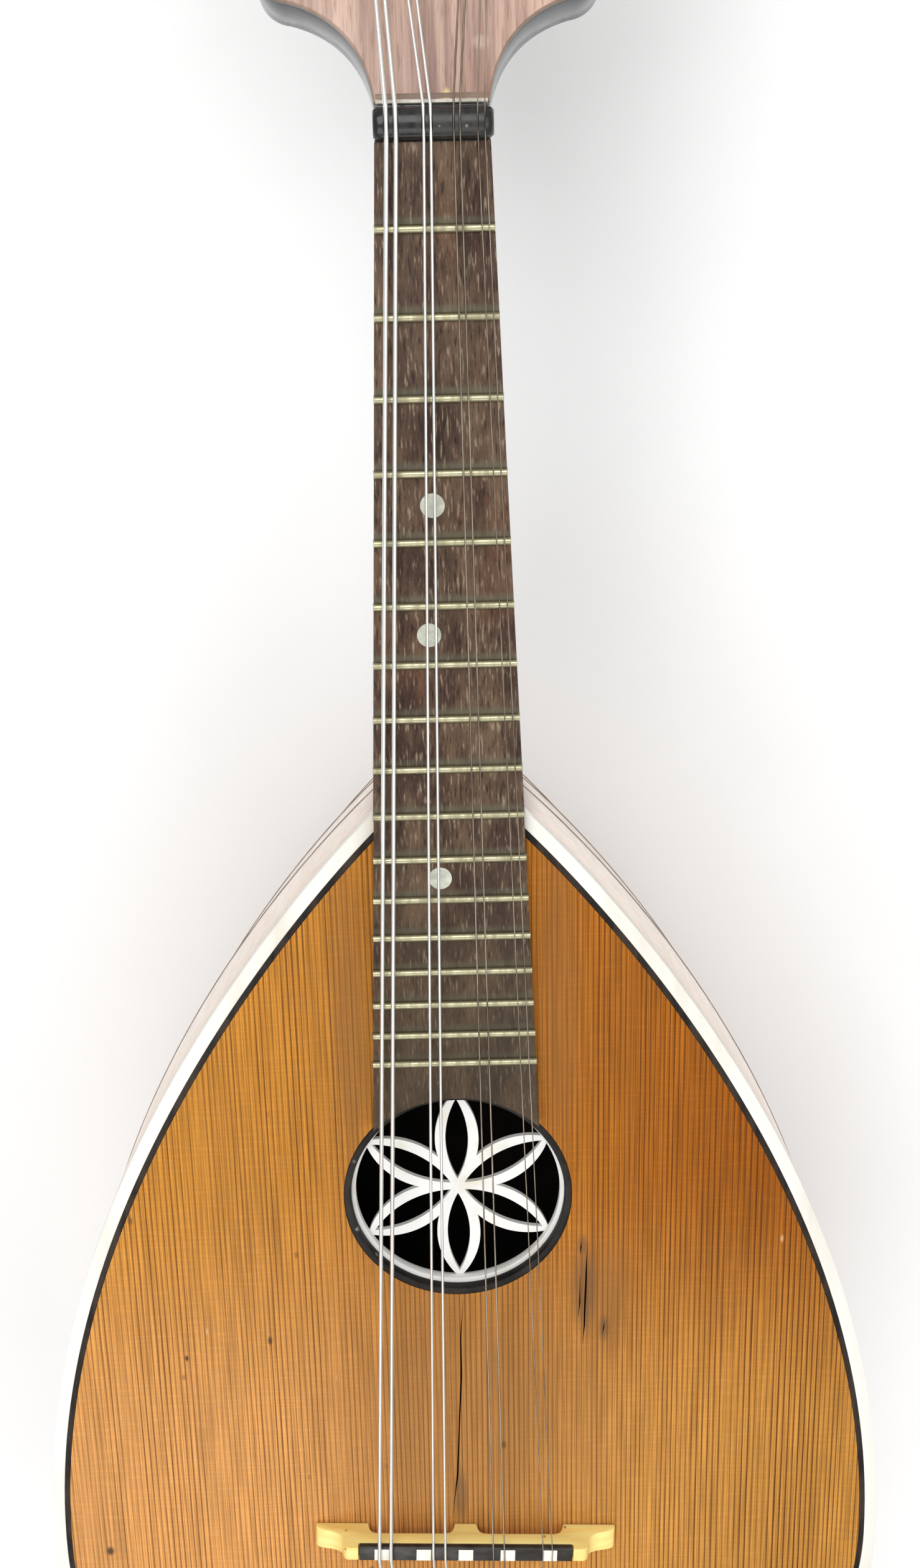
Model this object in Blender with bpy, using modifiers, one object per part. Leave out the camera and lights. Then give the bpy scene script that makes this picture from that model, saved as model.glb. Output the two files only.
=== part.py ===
"""A short-necked lute with a ribbed bowl back, four double courses and geared tuners.

It lies on its back: +Z points out of the soundboard, +Y runs from the body to the
headstock, and the lowest point of the bowl is at z = 0. Inside the body functions a
place is given as (across, along, height): across the centre line, along from the front
of the nut towards the tail, and height above the face of the soundboard. The headstock
and its tuners are laid out in the frame of the empty head_frame, which leans back.
"""

import math

import bmesh
import bpy
from mathutils import Matrix, Vector

# ---- driving sizes, in metres ----
SCALE_LENGTH = 0.346
FRET_COUNT = 17
CLEARANCE = 0.0003
CUT_MARGIN = 0.0030
JOIN_OVERLAP = 0.0004

BODY_HALF_WIDTH = 0.11237
BODY_LENGTH = 0.3115
WIDEST_FROM_TAIL = 0.0990
JOINT_FRET = 10
JOINT_HALF_WIDTH = 0.0181
SHOULDER_PULL = 0.121
LOWER_SIDE_PULL = 0.056
LOWER_TAIL_PULL = 0.064

BOWL_DEPTH = 0.118
BOWL_WALL = 0.0025
DEEPEST_FROM_TAIL = 0.1333
HEEL_DEPTH = 0.050
KEEL_START_PULL = (0.028, 0.036)
KEEL_PULL = 0.080
TAIL_SIDE_PULL = 0.072
TAIL_DROP_PULL = 0.066
RIB_COUNT = 15
SECTION_POWER = 3.0

SOUNDBOARD_THICKNESS = 0.0026
BINDING_WIDTH = 0.0033
FINGERBOARD_OVERHANG = 0.0104
HOOP_OUTER_RADIUS = 0.0291
HOOP_WIDTH = 0.0018
ROSETTE_SEAT = 0.0044
ROSETTE_SHOWS = 0.0011
PETAL_COUNT = 6
PETAL_OVERLAP = 0.0010
PETAL_HALF_WIDTH = 0.0056
PETAL_STRIP = 0.0027
PETAL_DROP = 0.0021
PETAL_RIM_SETBACK = 0.0006
PETAL_THICKNESS = 0.0014
PETAL_END_MARGIN = 1.55
FLOWER_EDGE_SETBACK = 0.0006

FINGERBOARD_THICKNESS = 0.0029
FINGERBOARD_NUT_HALF_WIDTH = 0.0122
FINGERBOARD_FLARE = 0.0379
FRET_HALF_WIDTH = 0.0010
FRET_HEIGHT = 0.0009
FRET_TANG = 0.0005
FRET_TANG_DEPTH = 0.0014
FRET_END_SLOPE = 0.6

NUT_FRONT = 0.0016
NUT_BACK = 0.0049
NUT_LEFT = 0.0124
NUT_RIGHT = 0.0129
NUT_RISE = 0.0030
NUT_SHOULDER = 0.62
NUT_SLOT_DEPTH = 0.0008

NECK_DEPTH = 0.0165
HEEL_LENGTH = 0.0400
NECK_STATIONS = (0.0, 0.2, 0.45, 0.7)
HEEL_STATIONS = (0.0, 0.35, 0.62, 0.82)
NECK_THICKENING = 0.0020
HEEL_CURVE = 1.6
SCARF_HALF_WIDTH = 0.0110
SCARF_LENGTH = 0.0110
SCARF_DROP = 0.0050
SCARF_DEPTH = 0.0090
HEAD_ANGLE = math.radians(14.0)
HEAD_LENGTH = 0.140
HEAD_THICKNESS = 0.014
HEAD_HALF_WIDTH = 0.0370
HEAD_END_HALF_WIDTH = 0.0330
HEAD_WAIST_PULL = (0.0013, 0.0110)
HEAD_FLARE_PULL = (0.0068, 0.0185)
HEAD_SHOULDER = 0.0215
HEAD_CORNER_WIDTH = 0.0070
HEAD_CORNER_PULL = (0.0030, 0.0005)
HEAD_CORNER_RISE = 0.0085
HEAD_CORNER_RISE_PULL = 0.0035
HEAD_END_CORNER = 0.0170
HEAD_END_PULL = (0.0010, 0.0080)
HEAD_END_DIP = 0.0100
HEAD_END_DIP_SHARE = 0.55
VENEER_THICKNESS = 0.0015
VENEER_START = 0.0006

GAUGES = (0.00097, 0.00097, 0.00066, 0.00066, 0.00040, 0.00040, 0.00028, 0.00028)
NUT_SPREAD = (-0.0096, -0.0076, -0.0018, -0.0003, 0.0045, 0.0058, 0.0095, 0.0110)
BRIDGE_SPREAD = (-0.0234, -0.0203, -0.0089, -0.0057, 0.0072, 0.0102, 0.0206, 0.0231)
TAIL_SPREAD = (-0.0165, -0.0120, -0.0065, -0.0020, 0.0040, 0.0085, 0.0140, 0.0185)

BRIDGE_COMPENSATION = 0.0114
BRIDGE_CENTRE = -0.0002
BRIDGE_SKEW = math.radians(2.2)
BRIDGE_HALF_LENGTH = 0.0406
BRIDGE_SHOULDER = 0.0326
BRIDGE_BASE_DEPTH = 0.0070
BRIDGE_TOP_DEPTH = 0.0040
BRIDGE_HEIGHT = 0.0086
ARCH_HEIGHT = 0.0034
ARCH_INNER = 0.0030
ARCH_OUTER = 0.0265
ARCH_CORNER = (0.0008, 0.0022)
WING_TIP = 0.0015
WING_SHELF = (0.0030, 0.0028)
WING_RISE = ((0.0014, 0.0044), (0.0004, 0.0058))
FRONT_LEAN = 0.35
SADDLE_HALF_LENGTH = 0.0287
SADDLE_HEIGHT = 0.0017
SADDLE_EDGE = 0.0006

TAILPIECE_LENGTH = 0.0183
TAILPIECE_HALF_WIDTH = 0.0240
TAILPIECE_THICKNESS = 0.0012
TAILPIECE_CORNER = 0.0040
TAILPIECE_TAPER = (0.0020, 0.0060)
TAILPIECE_FLAP_HALF_WIDTH = 0.0130
TAILPIECE_FLAP_DROP = 0.0130
HOOK_FROM_TAIL = 0.0133
HOOK_RADIUS = 0.0009
HOOK_HEIGHT = 0.0060
HOOK_LEAN = 0.0015
STRING_FROM_HOOK = 1.3
STRING_END_HEIGHT = 0.0036

PIN_DROP = 0.0215
PIN_STEM_RADIUS = 0.0028
PIN_WAIST_RADIUS = 0.0036
PIN_HEAD_RADIUS = 0.0060
PIN_FACE_RADIUS = 0.0048
PIN_LENGTH = 0.0110
PIN_STEM_LENGTH = 0.0180
PIN_EDGES = (0.0012, 0.0028, 0.0050)
PIN_FOOT = 0.0028
PIN_TAPER = 0.85

BLOCK_LENGTH = 0.026
TAIL_BLOCK_LENGTH = 0.0293
TAIL_BLOCK_RELIEF = 0.0065
BRACE_WIDTH = 0.005
BRACE_DEPTH = 0.009
BRACE_END_HEIGHT = 0.0030
BRACE_END_SLOPE = 0.0180
BRACE_SIDE_GAP = 0.0040
UPPER_BRACE_FROM_HOOP = 0.0128
LOWER_BRACE_FROM_HOOP = 0.0170

TUNERS_PER_SIDE = 4
TUNER_PITCH = 0.0245
FIRST_POST = 0.0400
POST_ACROSS = 0.0170
POST_RADIUS = 0.0030
POST_HEIGHT = 0.0150
POST_CHAMFER = 0.0008
POST_SCREW_HEAD = 0.0010
POST_SCREW_DOME = 0.0003
POST_HOLE_CLEARANCE = 0.0005
COIL_THICKNESS = 0.0009
COIL_LOW = 0.0050
COIL_HIGH = 0.0086
COIL_ROUNDING = 0.0003
GEAR_TEETH = 14
THREAD_PITCH = 0.0020
WORM_PITCH_RADIUS = 0.0021
ADDENDUM = 0.00045
WORM_CORE_RADIUS = 0.00145
WORM_HALF_LENGTH = 0.0030
THREAD_WIDTH = 0.00065
THREAD_ROOT_OVERLAP = 0.0003
WORM_RUNOUT = 0.0004
TOOTH_WIDTH = 0.00070
GEAR_ROOT_DROP = 0.00075
GEAR_THICKNESS = 0.0025
PLATE_THICKNESS = 0.0012
PLATE_HALF_WIDTH = 0.0095
PLATE_MARGIN = 0.0115
PLATE_END_EXTRA = 0.0020
LUG_OFFSET = 0.0046
LUG_THICKNESS = 0.0012
LUG_HALF_WIDTH = 0.0026
JOURNAL_CLEARANCE = 0.0002
SHAFT_RADIUS = 0.0013
SHAFT_STUB = 0.0006
BUTTON_STANDOFF = 0.0068
BUTTON_HALF_SIZE = (0.0072, 0.0088, 0.0034)



def fret_along(number):
    """Distance of a fret from the nut, twelve to the octave."""
    return SCALE_LENGTH * (1 - 2 ** (-number / 12))


# ---- sizes that follow from them ----
JOINT_ALONG = fret_along(JOINT_FRET)
TAIL_ALONG = JOINT_ALONG + BODY_LENGTH
WIDEST_ALONG = TAIL_ALONG - WIDEST_FROM_TAIL
DEEPEST_ALONG = TAIL_ALONG - DEEPEST_FROM_TAIL
HOLE_ALONG = fret_along(FRET_COUNT) + FINGERBOARD_OVERHANG + HOOP_OUTER_RADIUS
HOOP_INNER_RADIUS = HOOP_OUTER_RADIUS - HOOP_WIDTH
ROSETTE_RIM_OUTER = HOOP_OUTER_RADIUS + ROSETTE_SEAT
ROSETTE_RIM_INNER = HOOP_INNER_RADIUS - ROSETTE_SHOWS
PETAL_LENGTH = ROSETTE_RIM_INNER + PETAL_OVERLAP
UPPER_BRACE_ALONG = HOLE_ALONG - HOOP_OUTER_RADIUS - UPPER_BRACE_FROM_HOOP
LOWER_BRACE_ALONG = HOLE_ALONG + HOOP_OUTER_RADIUS + LOWER_BRACE_FROM_HOOP
NECK_DEEPENS_AT = JOINT_ALONG - HEEL_LENGTH
TAILPIECE_FRONT = TAIL_ALONG - TAILPIECE_LENGTH
HOOK_ALONG = TAIL_ALONG - HOOK_FROM_TAIL
TAIL_BLOCK_START = TAIL_ALONG - TAIL_BLOCK_LENGTH
BRIDGE_FRONT = SCALE_LENGTH + BRIDGE_COMPENSATION
FINGERBOARD_TOP = CLEARANCE + FINGERBOARD_THICKNESS
NUT_TOP = FINGERBOARD_TOP + NUT_RISE
RIM_DROP = SOUNDBOARD_THICKNESS + CLEARANCE
VENEER_TOP = CLEARANCE + VENEER_THICKNESS
PIN_END = TAIL_ALONG + PIN_LENGTH
HEAD_REACH = NUT_BACK + HEAD_LENGTH * math.cos(HEAD_ANGLE) + VENEER_TOP * math.sin(HEAD_ANGLE)
NUT_Y = (PIN_END - HEAD_REACH) / 2
FACE_Z = RIM_DROP + BOWL_DEPTH
TAIL_BLOCK_END = TAIL_ALONG - BOWL_WALL - TAIL_BLOCK_RELIEF
BRIDGE_ALONG = BRIDGE_FRONT + BRIDGE_BASE_DEPTH / 2
SADDLE_TOP = CLEARANCE + BRIDGE_HEIGHT
COIL_RADIUS = POST_RADIUS + COIL_THICKNESS
GEAR_PITCH_RADIUS = GEAR_TEETH * THREAD_PITCH / (2 * math.pi)
GEAR_DISTANCE = GEAR_PITCH_RADIUS + WORM_PITCH_RADIUS
WORM_TIP_RADIUS = WORM_PITCH_RADIUS + ADDENDUM
PLATE_TOP = -HEAD_THICKNESS - CLEARANCE
PLATE_BOTTOM = PLATE_TOP - PLATE_THICKNESS
WORM_LEVEL = PLATE_BOTTOM - WORM_TIP_RADIUS - CLEARANCE


def clear_scene():
    """Remove every object, so that the scene holds only this model."""
    for obj in list(bpy.data.objects):
        bpy.data.objects.remove(obj, do_unlink=True)


clear_scene()
PARTS = bpy.data.collections.new("bowl_back_bouzouki")
CUTTERS = bpy.data.collections.new("cutters")
for group in (PARTS, CUTTERS):
    bpy.context.scene.collection.children.link(group)


# ---- materials ----
def material(name, colour, roughness, metallic=0.0):
    """A plain Principled finish."""
    made = bpy.data.materials.new(name)
    made.use_nodes = True
    shader = made.node_tree.nodes["Principled BSDF"]
    shader.inputs["Base Color"].default_value = (*colour, 1.0)
    shader.inputs["Roughness"].default_value = roughness
    shader.inputs["Metallic"].default_value = metallic
    return made


SPRUCE = material("aged_spruce", (0.42, 0.21, 0.07), 0.45)
MAPLE = material("pale_maple", (0.62, 0.46, 0.36), 0.35)
ROSEWOOD = material("rosewood", (0.06, 0.035, 0.025), 0.5)
HEAD_WOOD = material("head_veneer_wood", (0.30, 0.15, 0.10), 0.5)
NECK_WOOD = material("dark_neck_wood", (0.10, 0.09, 0.09), 0.45)
IVOROID = material("ivoroid", (0.80, 0.76, 0.66), 0.35)
EBONY = material("ebony", (0.015, 0.015, 0.016), 0.25)
BRIDGE_WOOD = material("bridge_maple", (0.66, 0.42, 0.20), 0.45)
BRASS = material("fret_brass", (0.60, 0.50, 0.24), 0.3, 1.0)
STEEL = material("string_steel", (0.72, 0.72, 0.70), 0.25, 1.0)
NICKEL = material("nickel_plate", (0.62, 0.60, 0.56), 0.3, 1.0)
BLOCK_WOOD = material("block_spruce", (0.50, 0.36, 0.20), 0.7)


# ---- shared shapes ----
def at(across, along, height):
    """World position of a place on the body."""
    return Vector((across, NUT_Y - along, FACE_Z + height))


def bezier(points, steps):
    """Points along one cubic, both ends included."""
    a, b, c, d = (Vector(p) for p in points)
    made = []
    for i in range(steps + 1):
        t = i / steps
        s = 1 - t
        made.append(a * s**3 + b * 3 * s * s * t + c * 3 * s * t * t + d * t**3)
    return made


def mirrored(right):
    """A closed outline from its right half, which starts and ends near the centre line."""
    left = [Vector((-p.x, p.y)) for p in reversed(right) if abs(p.x) > 1e-6]
    return list(right) + left


def circle(x, y, radius, count):
    """Points around a circle in a plane."""
    turns = (2 * math.pi * i / count for i in range(count))
    return [Vector((x + radius * math.cos(a), y + radius * math.sin(a))) for a in turns]


def on_body(outline):
    """An (across, along) outline in the world's X and Y."""
    return [Vector((p.x, NUT_Y - p.y)) for p in outline]


def add_object(name, mesh, finish, parent=None, smooth=None):
    """Put a mesh in the scene as one part."""
    obj = bpy.data.objects.new(name, mesh)
    PARTS.objects.link(obj)
    obj.parent = parent
    if finish:
        mesh.materials.clear()
        mesh.materials.append(finish)
    if smooth:
        mesh.shade_smooth()
        mesh.set_sharp_from_angle(angle=math.radians(smooth))
    return obj


def bmesh_mesh(name, bm):
    """A mesh with its faces turned out, from a bmesh that is then freed."""
    bmesh.ops.recalc_face_normals(bm, faces=bm.faces)
    mesh = bpy.data.meshes.new(name)
    bm.to_mesh(mesh)
    bm.free()
    return mesh


def evaluated_mesh(obj):
    """The mesh of a curve or of an object with modifiers; the object is removed."""
    bpy.context.view_layer.update()
    graph = bpy.context.evaluated_depsgraph_get()
    mesh = bpy.data.meshes.new_from_object(obj.evaluated_get(graph))
    bpy.data.objects.remove(obj, do_unlink=True)
    bm = bmesh.new()
    bm.from_mesh(mesh)
    bmesh.ops.remove_doubles(bm, verts=bm.verts, dist=1e-6)
    bm.to_mesh(mesh)
    bm.free()
    return mesh


def slab_mesh(name, outlines, low, high):
    """A flat plate between two heights: the first outline is its edge, the others are holes."""
    curve = bpy.data.curves.new(name, "CURVE")
    curve.dimensions = "2D"
    curve.fill_mode = "BOTH"
    curve.extrude = (high - low) / 2
    for outline in outlines:
        spline = curve.splines.new("POLY")
        spline.points.add(len(outline) - 1)
        for point, place in zip(spline.points, outline):
            point.co = (place.x, place.y, 0.0, 1.0)
        spline.use_cyclic_u = True
    plate = bpy.data.objects.new(name, curve)
    PARTS.objects.link(plate)
    mesh = evaluated_mesh(plate)
    mesh.transform(Matrix.Translation((0, 0, (low + high) / 2)))
    return mesh


def add_box(bm, low, high):
    """A box between two corners."""
    low, high = Vector(low), Vector(high)
    size = Matrix.Diagonal((*(high - low), 1.0))
    bmesh.ops.create_cube(bm, size=1.0, matrix=Matrix.Translation((low + high) / 2) @ size)


def add_cylinder(bm, start, end, radius, segments):
    """A capped cylinder between two points."""
    start, end = Vector(start), Vector(end)
    turn = (end - start).to_track_quat("Z", "Y").to_matrix().to_4x4()
    bmesh.ops.create_cone(
        bm, cap_ends=True, segments=segments, radius1=radius, radius2=radius,
        depth=(end - start).length, matrix=Matrix.Translation((start + end) / 2) @ turn,
    )


def loft(bm, rings, closed=True):
    """Skin between rings of equal length, with a flat cap at each end."""
    rows = [[bm.verts.new(p) for p in ring] for ring in rings]
    count = len(rows[0])
    for near, far in zip(rows, rows[1:]):
        for i in range(count if closed else count - 1):
            j = (i + 1) % count
            bm.faces.new((near[i], near[j], far[j], far[i]))
    if closed:
        bm.faces.new(rows[0])
        bm.faces.new(reversed(rows[-1]))
    return rows


def cutter(name, bm, parent=None):
    """A hidden solid for a Boolean."""
    obj = bpy.data.objects.new(name, bmesh_mesh(name, bm))
    CUTTERS.objects.link(obj)
    obj.parent = parent
    obj.hide_render = True
    obj.display_type = "WIRE"
    return obj


def boolean(obj, other, operation):
    """Cut or join with the exact solver."""
    modifier = obj.modifiers.new(operation.lower(), "BOOLEAN")
    modifier.object = other
    modifier.operation = operation
    modifier.solver = "EXACT"


def turned_mesh(name, profile, steps):
    """A solid turned about Z from (radius, height) points, top to bottom."""
    mesh = bpy.data.meshes.new(name)
    edges = [(i, i + 1) for i in range(len(profile) - 1)]
    mesh.from_pydata([(r, 0.0, z) for r, z in profile], edges, [])
    obj = bpy.data.objects.new(name, mesh)
    PARTS.objects.link(obj)
    screw = obj.modifiers.new("screw", "SCREW")
    screw.steps = screw.render_steps = steps
    screw.use_merge_vertices = True
    screw.merge_threshold = 1e-6
    return evaluated_mesh(obj)


# ---- outlines of the body ----
UPPER_EDGE = (
    (JOINT_HALF_WIDTH, JOINT_ALONG),
    (JOINT_HALF_WIDTH + 0.0011, JOINT_ALONG + 0.0013),
    (BODY_HALF_WIDTH, WIDEST_ALONG - SHOULDER_PULL),
    (BODY_HALF_WIDTH, WIDEST_ALONG),
)
LOWER_EDGE = (
    (BODY_HALF_WIDTH, WIDEST_ALONG),
    (BODY_HALF_WIDTH, WIDEST_ALONG + LOWER_SIDE_PULL),
    (LOWER_TAIL_PULL, TAIL_ALONG),
    (0.0, TAIL_ALONG),
)
UPPER_KEEL = (
    (HEEL_DEPTH, JOINT_ALONG),
    (HEEL_DEPTH + KEEL_START_PULL[0], JOINT_ALONG + KEEL_START_PULL[1]),
    (BOWL_DEPTH, DEEPEST_ALONG - KEEL_PULL),
    (BOWL_DEPTH, DEEPEST_ALONG),
)
LOWER_KEEL = (
    (BOWL_DEPTH, DEEPEST_ALONG),
    (BOWL_DEPTH, DEEPEST_ALONG + TAIL_SIDE_PULL),
    (TAIL_DROP_PULL, TAIL_ALONG),
    (0.0, TAIL_ALONG),
)


def rim(inset):
    """Right half of the body's outline, moved inwards, from the neck joint to the tail."""
    curve = bezier(UPPER_EDGE, 18) + bezier(LOWER_EDGE, 14)[1:]
    start = JOINT_ALONG + CLEARANCE / 2
    made = []
    for i, point in enumerate(curve):
        ahead = curve[i + 1] if i + 1 < len(curve) else Vector((-curve[i - 1].x, point.y))
        behind = curve[i - 1] if i else point
        tangent = (ahead - behind).normalized()
        made.append(point + inset * Vector((-tangent.y, tangent.x)))
    made[-1].x = 0.0
    first, second = made[0], made[1]
    share = (start - first.y) / (second.y - first.y)
    made[0] = first + share * (second - first)
    return made


def measure(curves, along):
    """Value of a two-cubic curve at a distance along the body, and its slope."""
    points = bezier(curves[0], 60) + bezier(curves[1], 60)[1:]
    for low, high in zip(points, points[1:]):
        if low.y <= along <= high.y:
            break
    share = (along - low.y) / max(high.y - low.y, 1e-9)
    slope = (high.x - low.x) / max(high.y - low.y, 1e-9)
    return low.x + share * (high.x - low.x), slope


def section(half_width, depth, count, top=0.0):
    """Half a rounded cross-section, rim to rim under the body, as (across, height).

    The middle rib is flat, and lies at the full depth.
    """
    power = 2 / SECTION_POWER
    flat = math.sin(math.pi * (count // 2) / count) ** power
    made = []
    for i in range(count + 1):
        turn = math.pi * i / count
        cosine = math.cos(turn)
        x = half_width * math.copysign(abs(cosine) ** power, cosine)
        z = -depth * max(math.sin(turn), 0.0) ** power / flat
        made.append((x, top + z))
    return made


def inner_section(along, inset):
    """The bowl's section moved inwards by the inset, measured square to the wall."""
    width, width_slope = measure((UPPER_EDGE, LOWER_EDGE), along)
    depth, depth_slope = measure((UPPER_KEEL, LOWER_KEEL), along)
    width -= inset * math.hypot(1, width_slope)
    depth -= inset * math.hypot(1, depth_slope)
    return section(width, depth, RIB_COUNT, -RIM_DROP)


# ---- body ----
def make_bowl():
    """The back: a shell of flat ribs that run from the heel to one point at the tail."""
    upper, lower = 10, 9
    stations = [JOINT_ALONG + (DEEPEST_ALONG - JOINT_ALONG) * i / upper for i in range(upper)]
    for i in range(lower):
        stations.append(
            DEEPEST_ALONG + (TAIL_ALONG - DEEPEST_ALONG) * math.sin(math.pi / 2 * i / lower)
        )
    stations[0] += CLEARANCE / 2
    bm = bmesh.new()
    rings = []
    for along in stations:
        width = measure((UPPER_EDGE, LOWER_EDGE), along)[0]
        depth = measure((UPPER_KEEL, LOWER_KEEL), along)[0]
        ring = section(width, depth, RIB_COUNT, -RIM_DROP)
        rings.append([at(x, along, z) for x, z in ring])
    outer = loft(bm, rings, closed=False)
    pole = bm.verts.new(at(0, TAIL_ALONG, -RIM_DROP))
    for i in range(RIB_COUNT):
        bm.faces.new((outer[-1][i], outer[-1][i + 1], pole))
    bm.normal_update()
    bmesh.ops.recalc_face_normals(bm, faces=bm.faces)
    centre = at(0, DEEPEST_ALONG, 0)
    if bm.faces[0].normal.dot(bm.faces[0].calc_center_median() - centre) < 0:
        bmesh.ops.reverse_faces(bm, faces=bm.faces)
    bm.normal_update()

    def moved_in(vert, on_rim, at_front):
        place = vert.co - vert.normal * BOWL_WALL * vert.calc_shell_factor()
        if on_rim:
            place.z = FACE_Z - RIM_DROP
        if at_front:
            place.y = vert.co.y
        return place

    places = [
        [moved_in(v, i in (0, RIB_COUNT), row == 0) for i, v in enumerate(ring)]
        for row, ring in enumerate(outer)
    ]
    inner_pole = at(0, TAIL_ALONG - BOWL_WALL, -RIM_DROP)
    inner = loft(bm, places, closed=False)
    end = bm.verts.new(inner_pole)
    for i in range(RIB_COUNT):
        bm.faces.new((inner[-1][i], inner[-1][i + 1], end))
        bm.faces.new((outer[0][i], outer[0][i + 1], inner[0][i + 1], inner[0][i]))
    for edge in (0, RIB_COUNT):
        for row in range(len(outer) - 1):
            bm.faces.new(
                (outer[row][edge], outer[row + 1][edge], inner[row + 1][edge], inner[row][edge])
            )
        bm.faces.new((outer[-1][edge], pole, end, inner[-1][edge]))
    bowl = add_object("bowl", bmesh_mesh("bowl", bm), MAPLE)
    boolean(bowl, pin_hole(), "DIFFERENCE")
    return bowl


def pin_hole():
    """The bore that the end pin's stem goes through, in the bowl and the tail block."""
    bm = bmesh.new()
    add_cylinder(
        bm, at(0, TAIL_BLOCK_START - CUT_MARGIN, -PIN_DROP), at(0, PIN_END, -PIN_DROP),
        PIN_STEM_RADIUS + CLEARANCE, 16,
    )
    return cutter("pin_bore", bm)


def make_block(name, start, end, drilled):
    """A wooden block that fits the inside of the bowl."""
    bm = bmesh.new()
    rings = []
    steps = 4
    for i in range(steps + 1):
        along = start + (end - start) * i / steps
        ring = inner_section(along, BOWL_WALL + 3 * CLEARANCE)
        rings.append([at(x, along, z) for x, z in ring])
    loft(bm, rings)
    block = add_object(name, bmesh_mesh(name, bm), BLOCK_WOOD)
    if drilled:
        boolean(block, bpy.data.objects["pin_bore"], "DIFFERENCE")
    return block


def make_brace(name, along):
    """A bar glued across the underside of the soundboard, cut away at its ends."""
    width = measure((UPPER_EDGE, LOWER_EDGE), along)[0]
    depth = measure((UPPER_KEEL, LOWER_KEEL), along)[0]
    reach = (width - BRACE_SIDE_GAP) * (1 - (BRACE_DEPTH / depth) ** SECTION_POWER)
    reach -= BRACE_DEPTH / 2
    low, high = -RIM_DROP - BRACE_DEPTH, -RIM_DROP
    end = high - BRACE_END_HEIGHT
    outline = [
        (-reach, high), (reach, high), (reach, end), (reach - BRACE_END_SLOPE, low),
        (BRACE_END_SLOPE - reach, low), (-reach, end),
    ]
    bm = bmesh.new()
    loft(bm, [
        [at(x, along + side * BRACE_WIDTH / 2, z) for x, z in outline] for side in (-1, 1)
    ])
    add_object(name, bmesh_mesh(name, bm), BLOCK_WOOD)


def make_soundboard():
    """The flat front plate, with its sound hole."""
    edge = mirrored(rim(BINDING_WIDTH + CLEARANCE))
    hole = circle(0, HOLE_ALONG, HOOP_OUTER_RADIUS + CLEARANCE, 40)
    mesh = slab_mesh(
        "soundboard", [on_body(edge), on_body(hole)], FACE_Z - SOUNDBOARD_THICKNESS, FACE_Z
    )
    add_object("soundboard", mesh, SPRUCE)


def make_binding():
    """The pale edging around the soundboard, open at the neck."""
    outer, inner = rim(0.0), rim(BINDING_WIDTH)
    outline = mirrored(outer)
    inside = mirrored(inner)
    mesh = slab_mesh(
        "binding", [on_body(outline + list(reversed(inside)))],
        FACE_Z - SOUNDBOARD_THICKNESS, FACE_Z,
    )
    add_object("binding", mesh, IVOROID)


def make_hoop():
    """The black ring that lines the sound hole."""
    rings = [
        on_body(circle(0, HOLE_ALONG, r, 40)) for r in (HOOP_OUTER_RADIUS, HOOP_INNER_RADIUS)
    ]
    mesh = slab_mesh("soundhole_ring", rings, FACE_Z - SOUNDBOARD_THICKNESS, FACE_Z)
    add_object("soundhole_ring", mesh, EBONY)


def lens(length, half_width, start, steps):
    """A leaf between two arcs, from the start along +Y."""
    half = length / 2
    radius = (half * half + half_width * half_width) / (2 * half_width)
    sweep = math.asin(half / radius)
    arc = []
    for i in range(steps + 1):
        turn = -sweep + 2 * sweep * i / steps
        arc.append(Vector((
            radius * math.cos(turn) - radius + half_width, start + half + radius * math.sin(turn)
        )))
    return arc + [Vector((-p.x, p.y)) for p in reversed(arc[1:-1])]


def polar(radius, angle):
    """A point by its distance and its angle from +Y, clockwise."""
    return Vector((radius * math.sin(angle), radius * math.cos(angle)))


def flower_openings():
    """The holes of the flower: a leaf inside each petal and a space between each two."""
    half = PETAL_LENGTH / 2
    radius = (half * half + PETAL_HALF_WIDTH * PETAL_HALF_WIDTH) / (2 * PETAL_HALF_WIDTH)
    sweep = math.asin(half / radius)
    share = math.pi / PETAL_COUNT
    edge = ROSETTE_RIM_INNER + PETAL_RIM_SETBACK
    at_rim = sweep - math.asin(edge / (2 * radius))
    steps = 5
    turns = [share + (at_rim - share) * i / steps for i in range(steps + 1)]
    side = [polar(2 * radius * math.sin(sweep - turn), turn) for turn in turns]
    rim_arc = [
        polar(edge, at_rim + (2 * share - 2 * at_rim) * i / steps) for i in range(1, steps)
    ]
    back = [
        polar(2 * radius * math.sin(sweep - turn), 2 * share - turn) for turn in reversed(turns)
    ]
    space = side + rim_arc + back[:-1]
    margin = PETAL_STRIP * PETAL_END_MARGIN
    leaf = lens(PETAL_LENGTH - 2 * margin, PETAL_HALF_WIDTH - PETAL_STRIP, margin, 7)
    openings = []
    for i in range(PETAL_COUNT):
        turn = Matrix.Rotation(2 * share * i, 2)
        for outline in (leaf, space):
            openings.append([turn @ p + Vector((0, -HOLE_ALONG)) for p in outline])
    return [[Vector((p.x, -p.y)) for p in outline] for outline in openings]


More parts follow.
